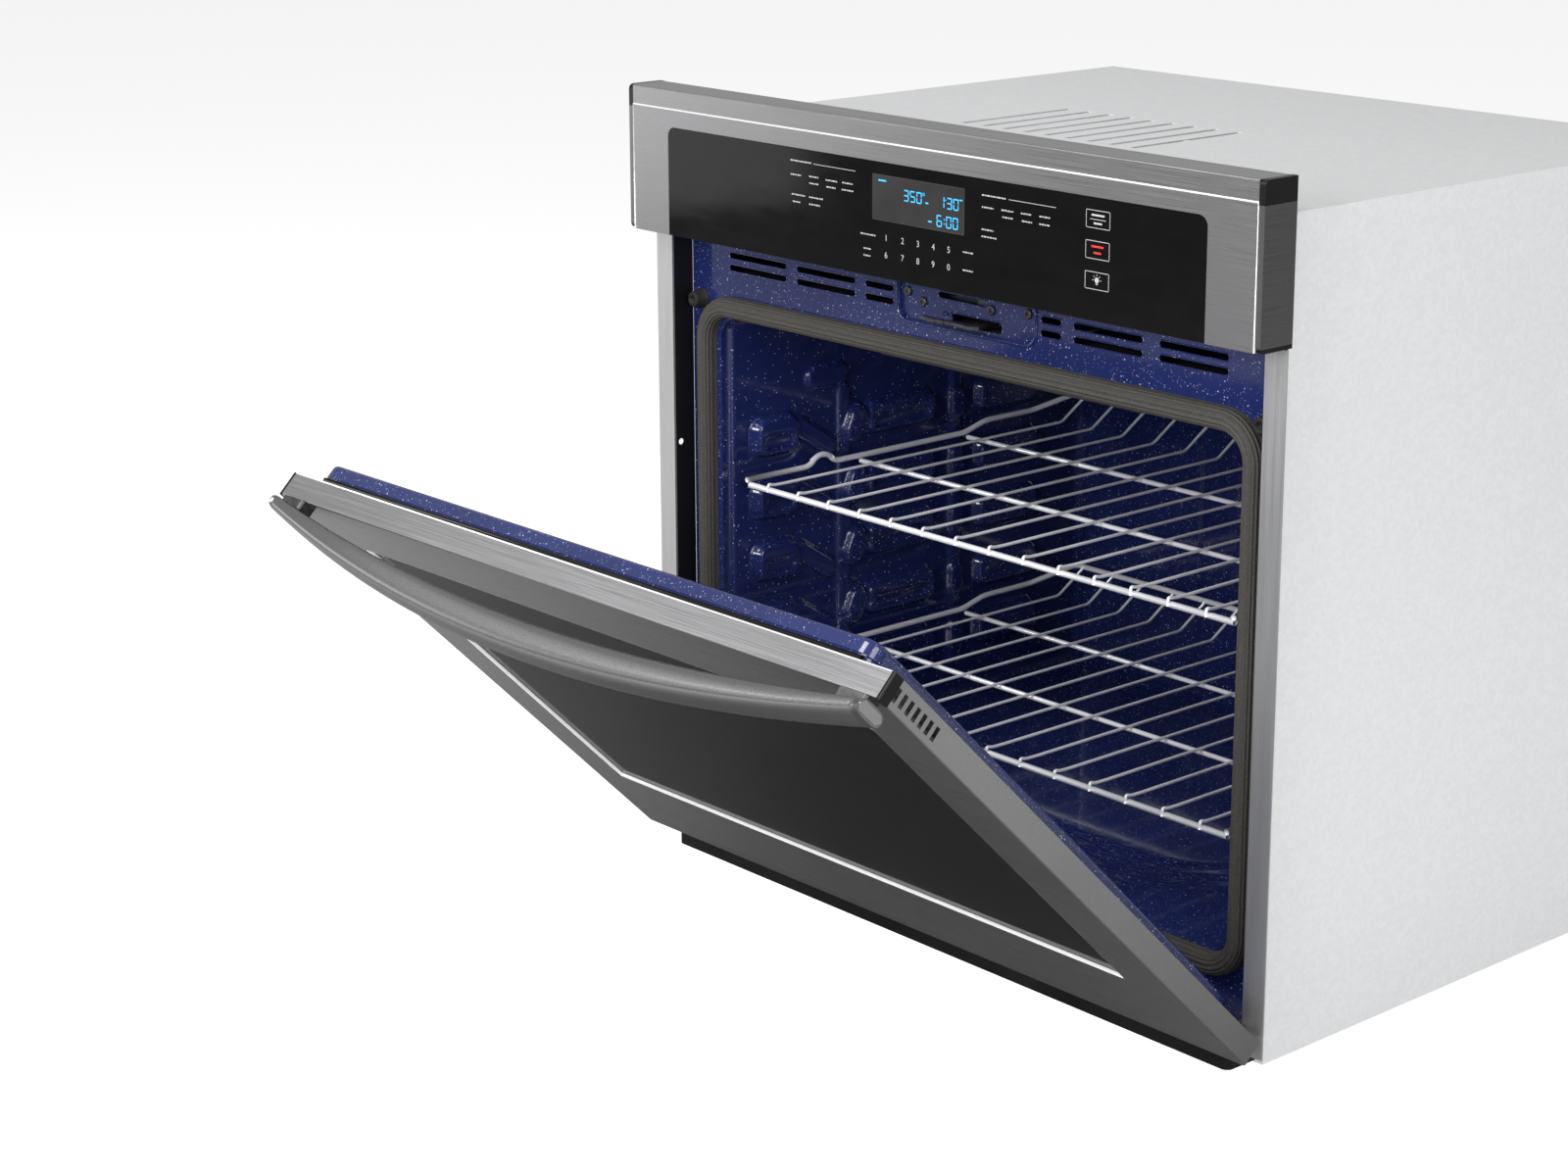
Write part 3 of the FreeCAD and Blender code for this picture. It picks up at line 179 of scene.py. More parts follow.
# ---- materials -----------------------------------------------------------------------------------
class Nodes:
    """One procedural material: short calls that add and link the nodes of a Principled shader."""

    SOCKETS = {
        "metallic": "Metallic", "roughness": "Roughness", "ior": "IOR", "sheen": "Sheen Weight",
        "specular": "Specular IOR Level", "coat": "Coat Weight", "coat_roughness": "Coat Roughness",
        "transmission": "Transmission Weight", "anisotropic": "Anisotropic",
        "emission": "Emission Color", "emission_strength": "Emission Strength",
    }

    def __init__(self, name):
        self.material = bpy.data.materials.new(name)
        self.material.use_nodes = True
        self.tree = self.material.node_tree
        self.shader = self.tree.nodes["Principled BSDF"]
        self.coordinates = self.add("ShaderNodeTexCoord").outputs["Object"]

    def add(self, kind, **values):
        """A new node with its properties set."""
        node = self.tree.nodes.new(kind)
        for key, value in values.items():
            setattr(node, key, value)
        return node

    def link(self, source, target):
        """Join an output to an input."""
        self.tree.links.new(source, target)

    def set(self, **values):
        """Values on the shader's own sockets."""
        for key, value in values.items():
            self.shader.inputs[self.SOCKETS[key]].default_value = value

    def stretched(self, scale):
        """Object coordinates, in metres, times a scale along each axis."""
        mapping = self.add("ShaderNodeMapping")
        mapping.inputs["Scale"].default_value = scale
        self.link(self.coordinates, mapping.inputs["Vector"])
        return mapping.outputs["Vector"]

    def noise(self, scale, detail=2.0, roughness=0.5, distortion=0.0):
        """Cloud noise from 0 to 1, about scale clouds per metre."""
        node = self.add("ShaderNodeTexNoise")
        self.link(self.stretched(scale), node.inputs["Vector"])
        node.inputs["Scale"].default_value = 1.0
        node.inputs["Detail"].default_value = detail
        node.inputs["Roughness"].default_value = roughness
        node.inputs["Distortion"].default_value = distortion
        return node.outputs["Fac"]

    def cells(self, scale, output="Distance"):
        """Cells, as the distance to the nearest middle or as a colour per cell."""
        node = self.add("ShaderNodeTexVoronoi")
        self.link(self.stretched((1, 1, 1)), node.inputs["Vector"])
        node.inputs["Scale"].default_value = scale
        return node.outputs[output]

    def waves(self, scale):
        """Bands that follow each other along X."""
        node = self.add("ShaderNodeTexWave", wave_type="BANDS", bands_direction="X")
        self.link(self.stretched((1, 1, 1)), node.inputs["Vector"])
        node.inputs["Scale"].default_value = scale
        return node.outputs["Fac"]

    def axis(self, name):
        """One object coordinate."""
        split = self.add("ShaderNodeSeparateXYZ")
        self.link(self.coordinates, split.inputs[0])
        return split.outputs[name]

    def span(self, source, low, high, to_low=0.0, to_high=1.0):
        """Map the range low to high, clamped, to another range."""
        node = self.add("ShaderNodeMapRange")
        self.link(source, node.inputs["Value"])
        for key, value in (("From Min", low), ("From Max", high), ("To Min", to_low), ("To Max", to_high)):
            node.inputs[key].default_value = value
        return node.outputs["Result"]

    def math(self, operation, first, second):
        """A sum, product or the like of two outputs or numbers."""
        node = self.add("ShaderNodeMath", operation=operation)
        for socket, value in zip(node.inputs, (first, second)):
            if isinstance(value, (int, float)):
                socket.default_value = value
            else:
                self.link(value, socket)
        return node.outputs[0]

    def ramp(self, source, stops):
        """Colour ramp from (place, colour) stops."""
        node = self.add("ShaderNodeValToRGB")
        self.link(source, node.inputs["Fac"])
        points = node.color_ramp.elements
        while len(points) < len(stops):
            points.new(0.5)
        for point, (place, colour) in zip(points, stops):
            point.position = place
            point.color = (*colour, 1)
        return node.outputs["Color"]

    def mixed(self, factor, first, second):
        """Blend of two colours or colour outputs."""
        node = self.add("ShaderNodeMix", data_type="RGBA")
        self.link(factor, node.inputs["Factor"])
        for socket, value in ((node.inputs[6], first), (node.inputs[7], second)):
            if isinstance(value, tuple):
                socket.default_value = (*value, 1)
            else:
                self.link(value, socket)
        return node.outputs[2]

    def colour(self, source):
        """Link the base colour."""
        self.link(source, self.shader.inputs["Base Color"])

    def roughness(self, source):
        """Link the roughness."""
        self.link(source, self.shader.inputs["Roughness"])

    def bump(self, height, strength, distance):
        """Fine relief from a height output."""
        node = self.add("ShaderNodeBump")
        node.inputs["Strength"].default_value = strength
        node.inputs["Distance"].default_value = distance
        self.link(height, node.inputs["Height"])
        self.link(node.outputs["Normal"], self.shader.inputs["Normal"])


def grey(value, tint=0.0):
    """A grey, slightly blue when tint is above 0."""
    return (value, value, value * (1 + tint))


def brushed(name, tone, roughness=0.3, grain=(9, 1500, 1500), contrast=0.16):
    """Brushed sheet: grain along X, with faint broad clouds."""
    n = Nodes(name)
    n.set(metallic=1.0, anisotropic=0.4)
    fine = n.noise(grain, detail=3.0, roughness=0.65)
    cloud = n.noise((3, 7, 7), detail=2.0)
    both = n.math("ADD", n.math("MULTIPLY", fine, 0.75), n.math("MULTIPLY", cloud, 0.25))
    low, high = tone * (1 - contrast), tone * (1 + contrast)
    n.colour(n.ramp(both, [(0.3, grey(low, 0.02)), (0.7, grey(high, 0.02))]))
    n.roughness(n.span(fine, 0.3, 0.7, roughness - 0.05, roughness + 0.07))
    n.bump(fine, 0.12, 0.00003)
    return n.material


def porcelain():
    """Cobalt enamel: deep blue glass with fine silver flecks of two sizes."""
    n = Nodes("porcelain")
    n.set(coat=0.7, coat_roughness=0.05, ior=1.52)
    cloud = n.noise((9, 9, 9), detail=3.0)
    base = n.ramp(cloud, [(0.3, (0.009, 0.016, 0.088)), (0.7, (0.013, 0.023, 0.122))])
    masks = []
    for scale, radius, share in ((290, 0.2, 0.45), (640, 0.22, 0.6)):
        near = n.span(n.cells(scale), radius, radius * 0.6)
        tint = n.add("ShaderNodeSeparateColor")
        n.link(n.cells(scale, "Color"), tint.inputs[0])
        keep = n.span(tint.outputs[0], share, 1.0)
        masks.append(n.math("MULTIPLY", near, keep))
    flecks = n.math("MAXIMUM", masks[0], masks[1])
    n.colour(n.mixed(flecks, base, (0.66, 0.69, 0.92)))
    n.roughness(n.span(flecks, 0, 1, 0.12, 0.4))
    n.bump(n.noise((60, 60, 60), detail=2.0), 0.05, 0.0004)
    return n.material


def galvanised():
    """Zinc-coated sheet with a faint spangle."""
    n = Nodes("galvanised")
    n.set(metallic=0.35)
    spangle = n.add("ShaderNodeSeparateColor")
    n.link(n.cells(260, "Color"), spangle.inputs[0])
    fine = n.noise((500, 500, 500), detail=3.0)
    tone = n.math("ADD", n.math("MULTIPLY", spangle.outputs[0], 0.5), n.math("MULTIPLY", fine, 0.5))
    n.colour(n.ramp(tone, [(0.2, (0.84, 0.85, 0.86)), (0.8, (0.90, 0.905, 0.91))]))
    n.roughness(n.span(spangle.outputs[1], 0, 1, 0.46, 0.54))
    n.bump(fine, 0.1, 0.0001)
    return n.material


def painted(name, tone, roughness, grain=900, relief=0.15):
    """Satin paint or moulded plastic with a fine skin texture."""
    n = Nodes(name)
    fine = n.noise((grain, grain, grain), detail=2.0)
    wide = n.noise((14, 14, 14), detail=3.0)
    n.colour(n.ramp(wide, [(0.3, grey(tone * 0.8)), (0.7, grey(tone * 1.25))]))
    n.roughness(n.span(wide, 0.3, 0.7, roughness - 0.06, roughness + 0.08))
    n.set(specular=0.35)
    n.bump(fine, relief, 0.0001)
    return n.material


def metal(name, tone, roughness, contrast=0.12, metallic=1.0):
    """Plain worked metal with slight mottling."""
    n = Nodes(name)
    n.set(metallic=metallic)
    mottle = n.noise((160, 160, 160), detail=3.0)
    low, high = tone * (1 - contrast), tone * (1 + contrast)
    n.colour(n.ramp(mottle, [(0.3, grey(low)), (0.7, grey(high))]))
    n.roughness(n.span(mottle, 0.3, 0.7, roughness * 0.8, roughness * 1.25))
    n.bump(mottle, 0.05, 0.00005)
    return n.material


def end_cap_finish():
    """Panel end: a brushed steel inlay between black plastic corners."""
    n = Nodes("end_cap_finish")
    height = n.axis("Z")
    fine = n.noise((1500, 9, 1500), detail=3.0, roughness=0.65)
    steel = n.ramp(fine, [(0.3, grey(0.22)), (0.7, grey(0.32))])
    inlay = n.math("MINIMUM", n.span(height, 0.6045, 0.6048), n.span(height, 0.7135, 0.7132))
    n.colour(n.mixed(inlay, grey(0.003), steel))
    n.link(inlay, n.shader.inputs["Metallic"])
    n.roughness(n.span(fine, 0.3, 0.7, 0.26, 0.36))
    n.bump(fine, 0.1, 0.00003)
    return n.material


def side_trim_finish():
    """Pale brushed face flange whose inner wall is black."""
    n = Nodes("side_trim_finish")
    fine = n.noise((1500, 1500, 9), detail=3.0, roughness=0.6)
    face = n.ramp(fine, [(0.3, grey(0.60)), (0.7, grey(0.74))])
    inner = n.span(n.axis("Y"), 0.0004, 0.0010)
    n.colour(n.mixed(inner, face, grey(0.006)))
    n.link(n.span(inner, 0, 1, 0.85, 0.0), n.shader.inputs["Metallic"])
    n.roughness(n.span(fine, 0.3, 0.7, 0.34, 0.44))
    n.bump(fine, 0.1, 0.00003)
    return n.material


def rack_wire():
    """Bright nickel plate, slightly satin."""
    n = Nodes("rack_wire")
    n.set(metallic=0.2, coat=0.5, coat_roughness=0.1)
    plate = n.noise((300, 300, 300), detail=2.0)
    n.colour(n.ramp(plate, [(0.3, (0.92, 0.92, 0.97)), (0.7, (0.98, 0.98, 1.0))]))
    n.roughness(n.span(plate, 0.3, 0.7, 0.16, 0.26))
    n.bump(plate, 0.05, 0.00005)
    return n.material


def touch_glass():
    """Black glass of the control panel; the print behind it is not quite even."""
    n = Nodes("touch_glass")
    n.set(specular=0.22, ior=1.5)
    smear = n.noise((25, 25, 60), detail=4.0, distortion=0.6)
    n.colour(n.ramp(smear, [(0.3, grey(0.0028)), (0.7, grey(0.0040))]))
    n.roughness(n.span(smear, 0.3, 0.75, 0.05, 0.11))
    return n.material


def tinted_glass():
    """Nearly black window pane: fine dots and a faint smear."""
    n = Nodes("tinted_glass")
    n.set(specular=0.07, ior=1.4)
    dots = n.span(n.cells(520), 0.5, 0.2)
    smear = n.noise((12, 30, 30), detail=3.0)
    tone = n.math("ADD", n.math("MULTIPLY", dots, 0.3), n.math("MULTIPLY", smear, 0.7))
    n.colour(n.ramp(tone, [(0.2, grey(0.0045)), (0.8, grey(0.0085))]))
    n.roughness(n.span(smear, 0.3, 0.75, 0.05, 0.12))
    return n.material


def clear_glass():
    """Clear, slightly green pane with faint smears."""
    n = Nodes("clear_glass")
    n.set(transmission=0.92, ior=1.5)
    smear = n.noise((20, 20, 20), detail=3.0)
    n.colour(n.ramp(smear, [(0.3, (0.80, 0.88, 0.85)), (0.7, (0.88, 0.94, 0.92))]))
    n.roughness(n.span(smear, 0.3, 0.75, 0.02, 0.06))
    return n.material


def gasket():
    """Braided glass-fibre seal: crossed yarns, dark brown-grey."""
    n = Nodes("gasket")
    yarn = n.noise((700, 700, 700), detail=4.0, roughness=0.7)
    weave = n.cells(800)
    tone = n.math("ADD", n.math("MULTIPLY", yarn, 0.6), n.math("MULTIPLY", weave, 0.4))
    n.colour(n.ramp(tone, [(0.2, (0.016, 0.015, 0.013)), (0.75, (0.075, 0.070, 0.060))]))
    n.set(roughness=0.72)
    n.bump(tone, 0.5, 0.0005)
    return n.material


def blanket():
    """Glass wool: layered pale fibres."""
    n = Nodes("blanket")
    fibre = n.noise((220, 220, 900), detail=6.0, roughness=0.75, distortion=1.2)
    n.colour(n.ramp(fibre, [(0.25, (0.52, 0.47, 0.34)), (0.75, (0.86, 0.82, 0.70))]))
    n.set(roughness=0.95, sheen=0.2)
    n.bump(fibre, 0.8, 0.003)
    return n.material


def circuit():
    """Green circuit board with pale tracks."""
    n = Nodes("circuit")
    tracks = n.add("ShaderNodeTexBrick")
    n.link(n.stretched((260, 260, 260)), tracks.inputs["Vector"])
    tracks.inputs["Scale"].default_value = 1.0
    tracks.inputs["Mortar Size"].default_value = 0.06
    tracks.inputs["Color1"].default_value = (0.010, 0.085, 0.035, 1)
    tracks.inputs["Color2"].default_value = (0.014, 0.11, 0.045, 1)
    tracks.inputs["Mortar"].default_value = (0.10, 0.26, 0.10, 1)
    n.colour(tracks.outputs["Color"])
    n.set(roughness=0.35)
    n.bump(tracks.outputs["Fac"], 0.2, 0.0002)
    return n.material


def element():
    """Sheathed heater: oxidised grey with warmer patches."""
    n = Nodes("element")
    n.set(metallic=0.8)
    patch = n.noise((40, 40, 40), detail=4.0)
    n.colour(n.ramp(patch, [(0.3, (0.09, 0.085, 0.09)), (0.7, (0.20, 0.17, 0.15))]))
    n.roughness(n.span(patch, 0.3, 0.7, 0.38, 0.6))
    n.bump(n.noise((900, 900, 900)), 0.2, 0.0001)
    return n.material


def motor():
    """Stacked laminations, seen as fine lines."""
    n = Nodes("motor")
    n.set(metallic=0.7, roughness=0.45)
    sheets = n.waves(500)
    n.colour(n.ramp(sheets, [(0.2, (0.10, 0.10, 0.11)), (0.8, (0.26, 0.26, 0.27))]))
    n.bump(sheets, 0.3, 0.0003)
    return n.material


def glowing(name, colour, strength):
    """Lit segments that shine a little, or print given a painted glow."""
    n = Nodes(name)
    shade = n.noise((900, 900, 900))
    n.colour(n.ramp(shade, [(0.3, tuple(c * 0.8 for c in colour)), (0.7, colour)]))
    n.set(emission=(*colour, 1), emission_strength=strength, roughness=0.5)
    return n.material


def printed(name, tone):
    """Ceramic ink on glass."""
    n = Nodes(name)
    grain = n.noise((2500, 2500, 2500))
    n.colour(n.ramp(grain, [(0.3, tuple(c * 0.85 for c in tone)), (0.7, tone)]))
    n.set(roughness=0.5)
    return n.material


def make_materials():
    """One material for each slot, and a few finishes of single pieces."""
    return {
        "stainless": brushed("stainless", 0.46),
        "handle_metal": brushed("handle_metal", 0.33, 0.3, grain=(400, 2500, 2500), contrast=0.04),
        "galvanised": galvanised(),
        "porcelain": porcelain(),
        "touch_glass": touch_glass(),
        "tinted_glass": tinted_glass(),
        "clear_glass": clear_glass(),
        "gasket": gasket(),
        "black_trim": painted("black_trim", 0.006, 0.32, grain=700),
        "black_plastic": painted("black_plastic", 0.009, 0.38, grain=1400),
        "rubber": painted("rubber", 0.011, 0.62, grain=1100, relief=0.25),
        "rack_wire": rack_wire(),
        "element": element(),
        "steel": metal("steel", 0.50, 0.28),
        "dark_steel": metal("dark_steel", 0.12, 0.42, contrast=0.25),
        "circuit": circuit(),
        "module": painted("module", 0.008, 0.3),
        "ceramic": painted("ceramic", 0.62, 0.35, grain=500),
        "blanket": blanket(),
        "motor": motor(),
        "screw": metal("screw", 0.045, 0.35, contrast=0.2),
        "polish": metal("polish", 0.5, 0.2, contrast=0.04),
        # Near-white, barely metallic finish for thin beads: painted highlight on edges and round the window.
        "painted_highlight": metal("painted_highlight", 0.95, 0.16, contrast=0.03, metallic=0.25),
        # Black plastic of the door's corner caps; the same finish serves as painted shade in the door's hem
        # gap.
        "black_plastic_and_shade": painted("black_plastic_and_shade", 0.003, 0.3, grain=1400),
        # Near-black finish that stands for shade behind the slots: painted shade.
        "painted_shade_black": painted("painted_shade_black", 0.003, 0.8, grain=500),
        "end_cap": end_cap_finish(),
        "trim": side_trim_finish(),
    }


# ---- pieces --------------------------------------------------------------------------------------
def piece(name, points, faces, body, material, door=False, smooth=True):
    """A mesh piece from points in millimetres; a door piece is given closed and turned open here."""
    if door:
        turn = Matrix.Rotation(DOOR_OPEN, 4, "X")
        points = [PIVOT + turn @ (Vector(p) - PIVOT) for p in points]
    mesh = bpy.data.meshes.new(name)
    mesh.from_pydata([Vector(p) * MM for p in points], [], faces)
    mesh.polygons.foreach_set("use_smooth", [smooth] * len(faces))
    mesh.materials.append(material)
    mesh.update()
    made = bpy.data.objects.new(name, mesh)
    bpy.context.scene.collection.objects.link(made)
    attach(made, body)
    return made


def lattice(rows, columns, closed_rows=False, closed_columns=False):
    """Quads over a grid of points stored row by row."""
    faces = []
    for r in range(rows if closed_rows else rows - 1):
        for c in range(columns if closed_columns else columns - 1):
            a, b = r * columns + c, r * columns + (c + 1) % columns
            below = ((r + 1) % rows) * columns
            faces.append((a, b, below + (c + 1) % columns, below + c))
    return faces


def rounded_ring(half, low, high, radius, steps=14):
    """Points (x, z) round a rounded rectangle."""
    ring = []
    corners = ((1, 1, 0), (-1, 1, 90), (-1, -1, 180), (1, -1, 270))
    for side, up, start in corners:
        x = side * (half - radius)
        z = high - radius if up > 0 else low + radius
        for n in range(steps + 1):
            a = math.radians(start + 90 * n / steps)
            ring.append((x + radius * math.cos(a), z + radius * math.sin(a)))
    return ring


def tube_rings(path, radius, closed, sides=10):
    """Rings of points round a path, without twist."""
    path = [Vector(p) for p in path]
    rings, normal = [], None
    for index, point in enumerate(path):
        before = path[index - 1] if closed or index else point
        after = path[(index + 1) % len(path)] if closed or index < len(path) - 1 else point
        along = (after - before).normalized()
        normal = along.orthogonal() if normal is None else normal
        normal = (normal - along * normal.dot(along)).normalized()
        other = along.cross(normal)
        for n in range(sides):
            a = 2 * math.pi * n / sides
            rings.append(point + normal * (radius * math.cos(a)) + other * (radius * math.sin(a)))
    return rings


def eased(path, bend, steps=5):
    """The path with every inner corner rounded off."""
    path = [Vector(p) for p in path]
    smooth = [path[0]]
    for before, corner, after in zip(path, path[1:], path[2:]):
        enter = corner + (before - corner).normalized() * min(bend, (before - corner).length / 2)
        leave = corner + (after - corner).normalized() * min(bend, (after - corner).length / 2)
        for n in range(steps + 1):
            t = n / steps
            smooth.append(enter * (1 - t) ** 2 + corner * (2 * t * (1 - t)) + leave * t ** 2)
    return smooth + [path[-1]]


def beads(name, paths, radius, body, material, closed=True, sides=10, door=False):
    """Round beads along several flat paths, as one piece."""
    points, faces = [], []
    for path in paths:
        start = len(points)
        points += tube_rings(path, radius, closed, sides)
        for face in lattice(len(path), sides, closed_rows=closed, closed_columns=True):
            faces.append(tuple(start + n for n in face))
        if not closed:
            faces.append(tuple(range(start, start + sides)))
            faces.append(tuple(reversed(range(len(points) - sides, len(points)))))
    return piece(name, points, faces, body, material, door=door)


def loop_at(x0, x1, z0, z1, radius, y, steps=8):
    """Closed path round a rounded rectangle, at one y."""
    middle = (x0 + x1) / 2
    return [(middle + x, y, z) for x, z in rounded_ring((x1 - x0) / 2, z0, z1, radius, steps)]


def slot_rims(material):
    """Rolled rims of the air slots and of the latch slot."""
    rims = []
    for x0, x1 in VENT_SPANS:
        for z in VENT_ROWS:
            rims.append(loop_at(x0 - 0.5, x1 + 0.5, z - 3.25, z + 3.25, 3.2, 23.6))
    rims.append(loop_at(-31.2, 28.5, 577.8, 584.2, 3.2, 26.6))
    beads("slot_rims", rims, 0.75, "chassis", material, sides=8)


def latch_pocket_bead(material):
    """Bead down one side of the latch pocket, round its lower corners and up the other side."""
    path = [(-78.5, 23.4, 599)]
    for centre, start, end in (((-65.5, 566), 180, 270), ((76.5, 566), 270, 360)):
        for n in range(9):
            a = math.radians(start + (end - start) * n / 8)
            path.append((centre[0] + 13 * math.cos(a), 23.4, centre[1] + 13 * math.sin(a)))
    path.append((89.5, 23.4, 599))
    beads("latch_pocket_bead", [path], 1.6, "chassis", material, closed=False)


def hinge_pockets(trim, steel):
    """Dished pocket round each hinge arm, with a spring clip and two rivets; the pocket's black is painted
    shade from the door.
    """
    for side, name in ((1, "right"), (-1, "left")):
        x0, x1 = sorted((side * 343.6, side * 356.4))
        rows = []
        for inset, y in ((0, 23.45), (0, 22.9), (0.8, 22.2), (1.6, 22.9), (1.7, 23.3)):
            ring = rounded_ring((x1 - x0) / 2 - inset, 16 + inset, 136 - inset, 4.5 - inset)
            rows += [((x0 + x1) / 2 + x, y, z) for x, z in ring]
        columns = len(rows) // 5
        faces = lattice(5, columns, closed_columns=True) + [tuple(range(4 * columns, 5 * columns))]
        # Black pocket: painted shade where the door shades the front plate.
        piece(f"hinge_pocket_{name}", rows, faces, "chassis", trim)
        clip = [(side * (347 + 4 * math.sin(n * 0.55)), 20.9, 58 + 3.4 * n) for n in range(15)]
        beads(f"hinge_clip_{name}", [clip], 1.1, "chassis", steel, closed=False)
        x, r = side * 350, 2.6
        rivets = [loop_at(x - r, x + r, z - r, z + r, 2.5, 21.6) for z in (120, 128)]
        beads(f"hinge_rivets_{name}", rivets, 1.3, "chassis", steel)


def painted_highlight_edges(material):
    """Near-white beads along the edges of the fascia and of the door skin, as painted highlight."""
    line = [(-371.8, FRONT_Y + 0.3, 601.6), (-371.8, FRONT_Y + 0.3, 715.6)]
    line += [(371.8, FRONT_Y + 0.3, 715.6), (371.8, FRONT_Y + 0.3, 601.6)]
    beads("fascia_highlight", [line], 0.9, "chassis", material, closed=False, sides=8)
    back = FRONT_Y + 22.7
    rims = [[(-374.0, back - 0.1, 596.8), (374.0, back - 0.1, 596.8)]]
    beads("skin_highlight", rims, 0.8, "door", material, closed=False, sides=8, door=True)


def hem_gap(material):
    """Black strip of painted shade in the gap between the door's skin and its liner."""
    shade_strip = [[(-338, -6.2, 593.2), (338, -6.2, 593.2)]]
    beads("hem_shade", shade_strip, 2.3, "door", material, closed=False, door=True)


def door_stops(material):
    """Round rubber stops: a flange, a domed button and a hexagon recess."""
    for side, name in ((1, "right"), (-1, "left")):
        rings = []
        profile = ((9.6, 23.9), (9.6, 22.6), (9.0, 22.0), (7.6, 21.7), (7.4, 12.6), (6.6, 11.2), (5.2, 10.8))
        for radius, y in profile:
            ring = []
            for n in range(36):
                ring.append((radius * math.cos(n * math.pi / 18), y, radius * math.sin(n * math.pi / 18)))
            rings.append(ring)
        for reach, y in ((3.5, 10.9), (3.3, 14.8)):
            ring = []
            for n in range(36):
                angle = (n * 10) % 60 - 30
                radius = reach / math.cos(math.radians(angle))
                ring.append((radius * math.cos(n * math.pi / 18), y, radius * math.sin(n * math.pi / 18)))
            rings.append(ring)
        points = [(side * STOP_X + x, y, STOP_Z + z) for ring in rings for x, y, z in ring]
        faces = lattice(len(rings), 36, closed_columns=True)
        faces.append(tuple(range(len(points) - 36, len(points))))
        faces = [face[::-1] for face in faces]
        made = piece(f"door_stop_{name}", points, faces, "chassis", material)
        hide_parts("door_bumpers")


def window_bezel(material):
    """Sloped edge between the door's skin and its outer glass, near white as painted highlight."""
    rows = []
    profile = ((-0.1, -31.9), (0.1, -32.0), (0.45, -31.6), (0.5, -29.0))
    for inset, y in profile:
        ring = rounded_ring(320 - inset, 148 + inset, 531 - inset, 2.6 - inset * 0.8, 5)
        rows += [(x, y, z) for x, z in ring]
    columns = len(rows) // len(profile)
    faces = lattice(len(profile), columns, closed_columns=True)
    piece("window_bezel", rows, faces, "door", material, door=True)


def rack(name, level, material):
    """Wire rack: a stepped side rail that ends in the raised lip, cross bars, and hooked wires."""
    right = [(300, y, level + 1 + up) for y, up in RAIL] + [(283, 468, level + 23)]
    around = right + [(-x, y, z) for x, y, z in reversed(right)]
    thick = [eased(around, 7)] + [[(-299, y, level - 4), (299, y, level - 4)] for y in (42, 182, 326)]
    radii = [2.8, 2.8, 2.3, 2.3]
    points, faces = [], []
    tubes = list(zip(thick, radii))
    for n in range(14):
        x = (n - 6.5) * 41.6
        hook = [(x, 39.6, level - 5), (x, 39.6, level + 2.6), (x, 46, level + 0.4), (x, 60, level)]
        tubes.append((eased(hook + [(x, 430, level), (x, 468.6, level + 24)], 4), 1.45))
    for path, radius in tubes:
        start = len(points)
        points += tube_rings(path, radius, False, 12)
        faces += [tuple(start + n for n in face) for face in lattice(len(path), 12, closed_columns=True)]
        faces += [tuple(range(start, start + 12)), tuple(reversed(range(len(points) - 12, len(points))))]
    made = piece(f"{name}_wires", points, faces, name, material)
    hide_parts(name)


def ribbed_gasket(material):
    """The seal round the cavity: a bulb with nine ribs that run along it."""
    width, depth, back, ribs = 19.0, 12.3, 23.5, 9
    samples = ribs * 7
    profile = []
    for n in range(samples + 1):
        angle = math.pi * n / samples
        swell = 1 + 0.035 * math.cos(2 * math.pi * ribs * n / samples)
        across = math.copysign(abs(math.cos(angle)) ** 0.8, math.cos(angle)) * width / 2
        out = math.sin(angle) ** 0.7 * depth
        profile.append((width / 2 - across * swell, back - out * swell))
    points = []
    for inset, y in profile:
        points += [(x, y, z) for x, z in rounded_ring(342.5 - inset, 64 + inset, 540 - inset, 42 - inset)]
    columns = len(points) // len(profile)
    faces = lattice(len(profile), columns, closed_columns=True)
    made = piece("seal_ribbed", points, faces, "chassis", material)
    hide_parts("door_gasket")


# ---- embossed cavity walls -----------------------------------------------------------------------
def smooth_step(value):
    """0 to 1 with level ends."""
    value = min(max(value, 0.0), 1.0)
    return value * value * (3 - 2 * value)


def box_distance(u, v, u0, u1, v0, v1, radius):
    """Signed distance from a rounded rectangle, below 0 inside it."""
    du = abs(u - (u0 + u1) / 2) - (u1 - u0) / 2 + radius
    dv = abs(v - (v0 + v1) / 2) - (v1 - v0) / 2 + radius
    return math.hypot(max(du, 0), max(dv, 0)) + min(max(du, dv), 0) - radius


def capsule_distance(u, v, start, end, radius):
    """Signed distance from a round-ended bar between two points."""
    du, dv = end[0] - start[0], end[1] - start[1]
    t = ((u - start[0]) * du + (v - start[1]) * dv) / (du * du + dv * dv)
    t = min(max(t, 0.0), 1.0)
    return math.hypot(u - start[0] - du * t, v - start[1] - dv * t) - radius


def raised(distance, height, shoulder):
    """Height of an embossed field at a distance outside its crest line."""
    return height * (1 - smooth_step(distance / shoulder))


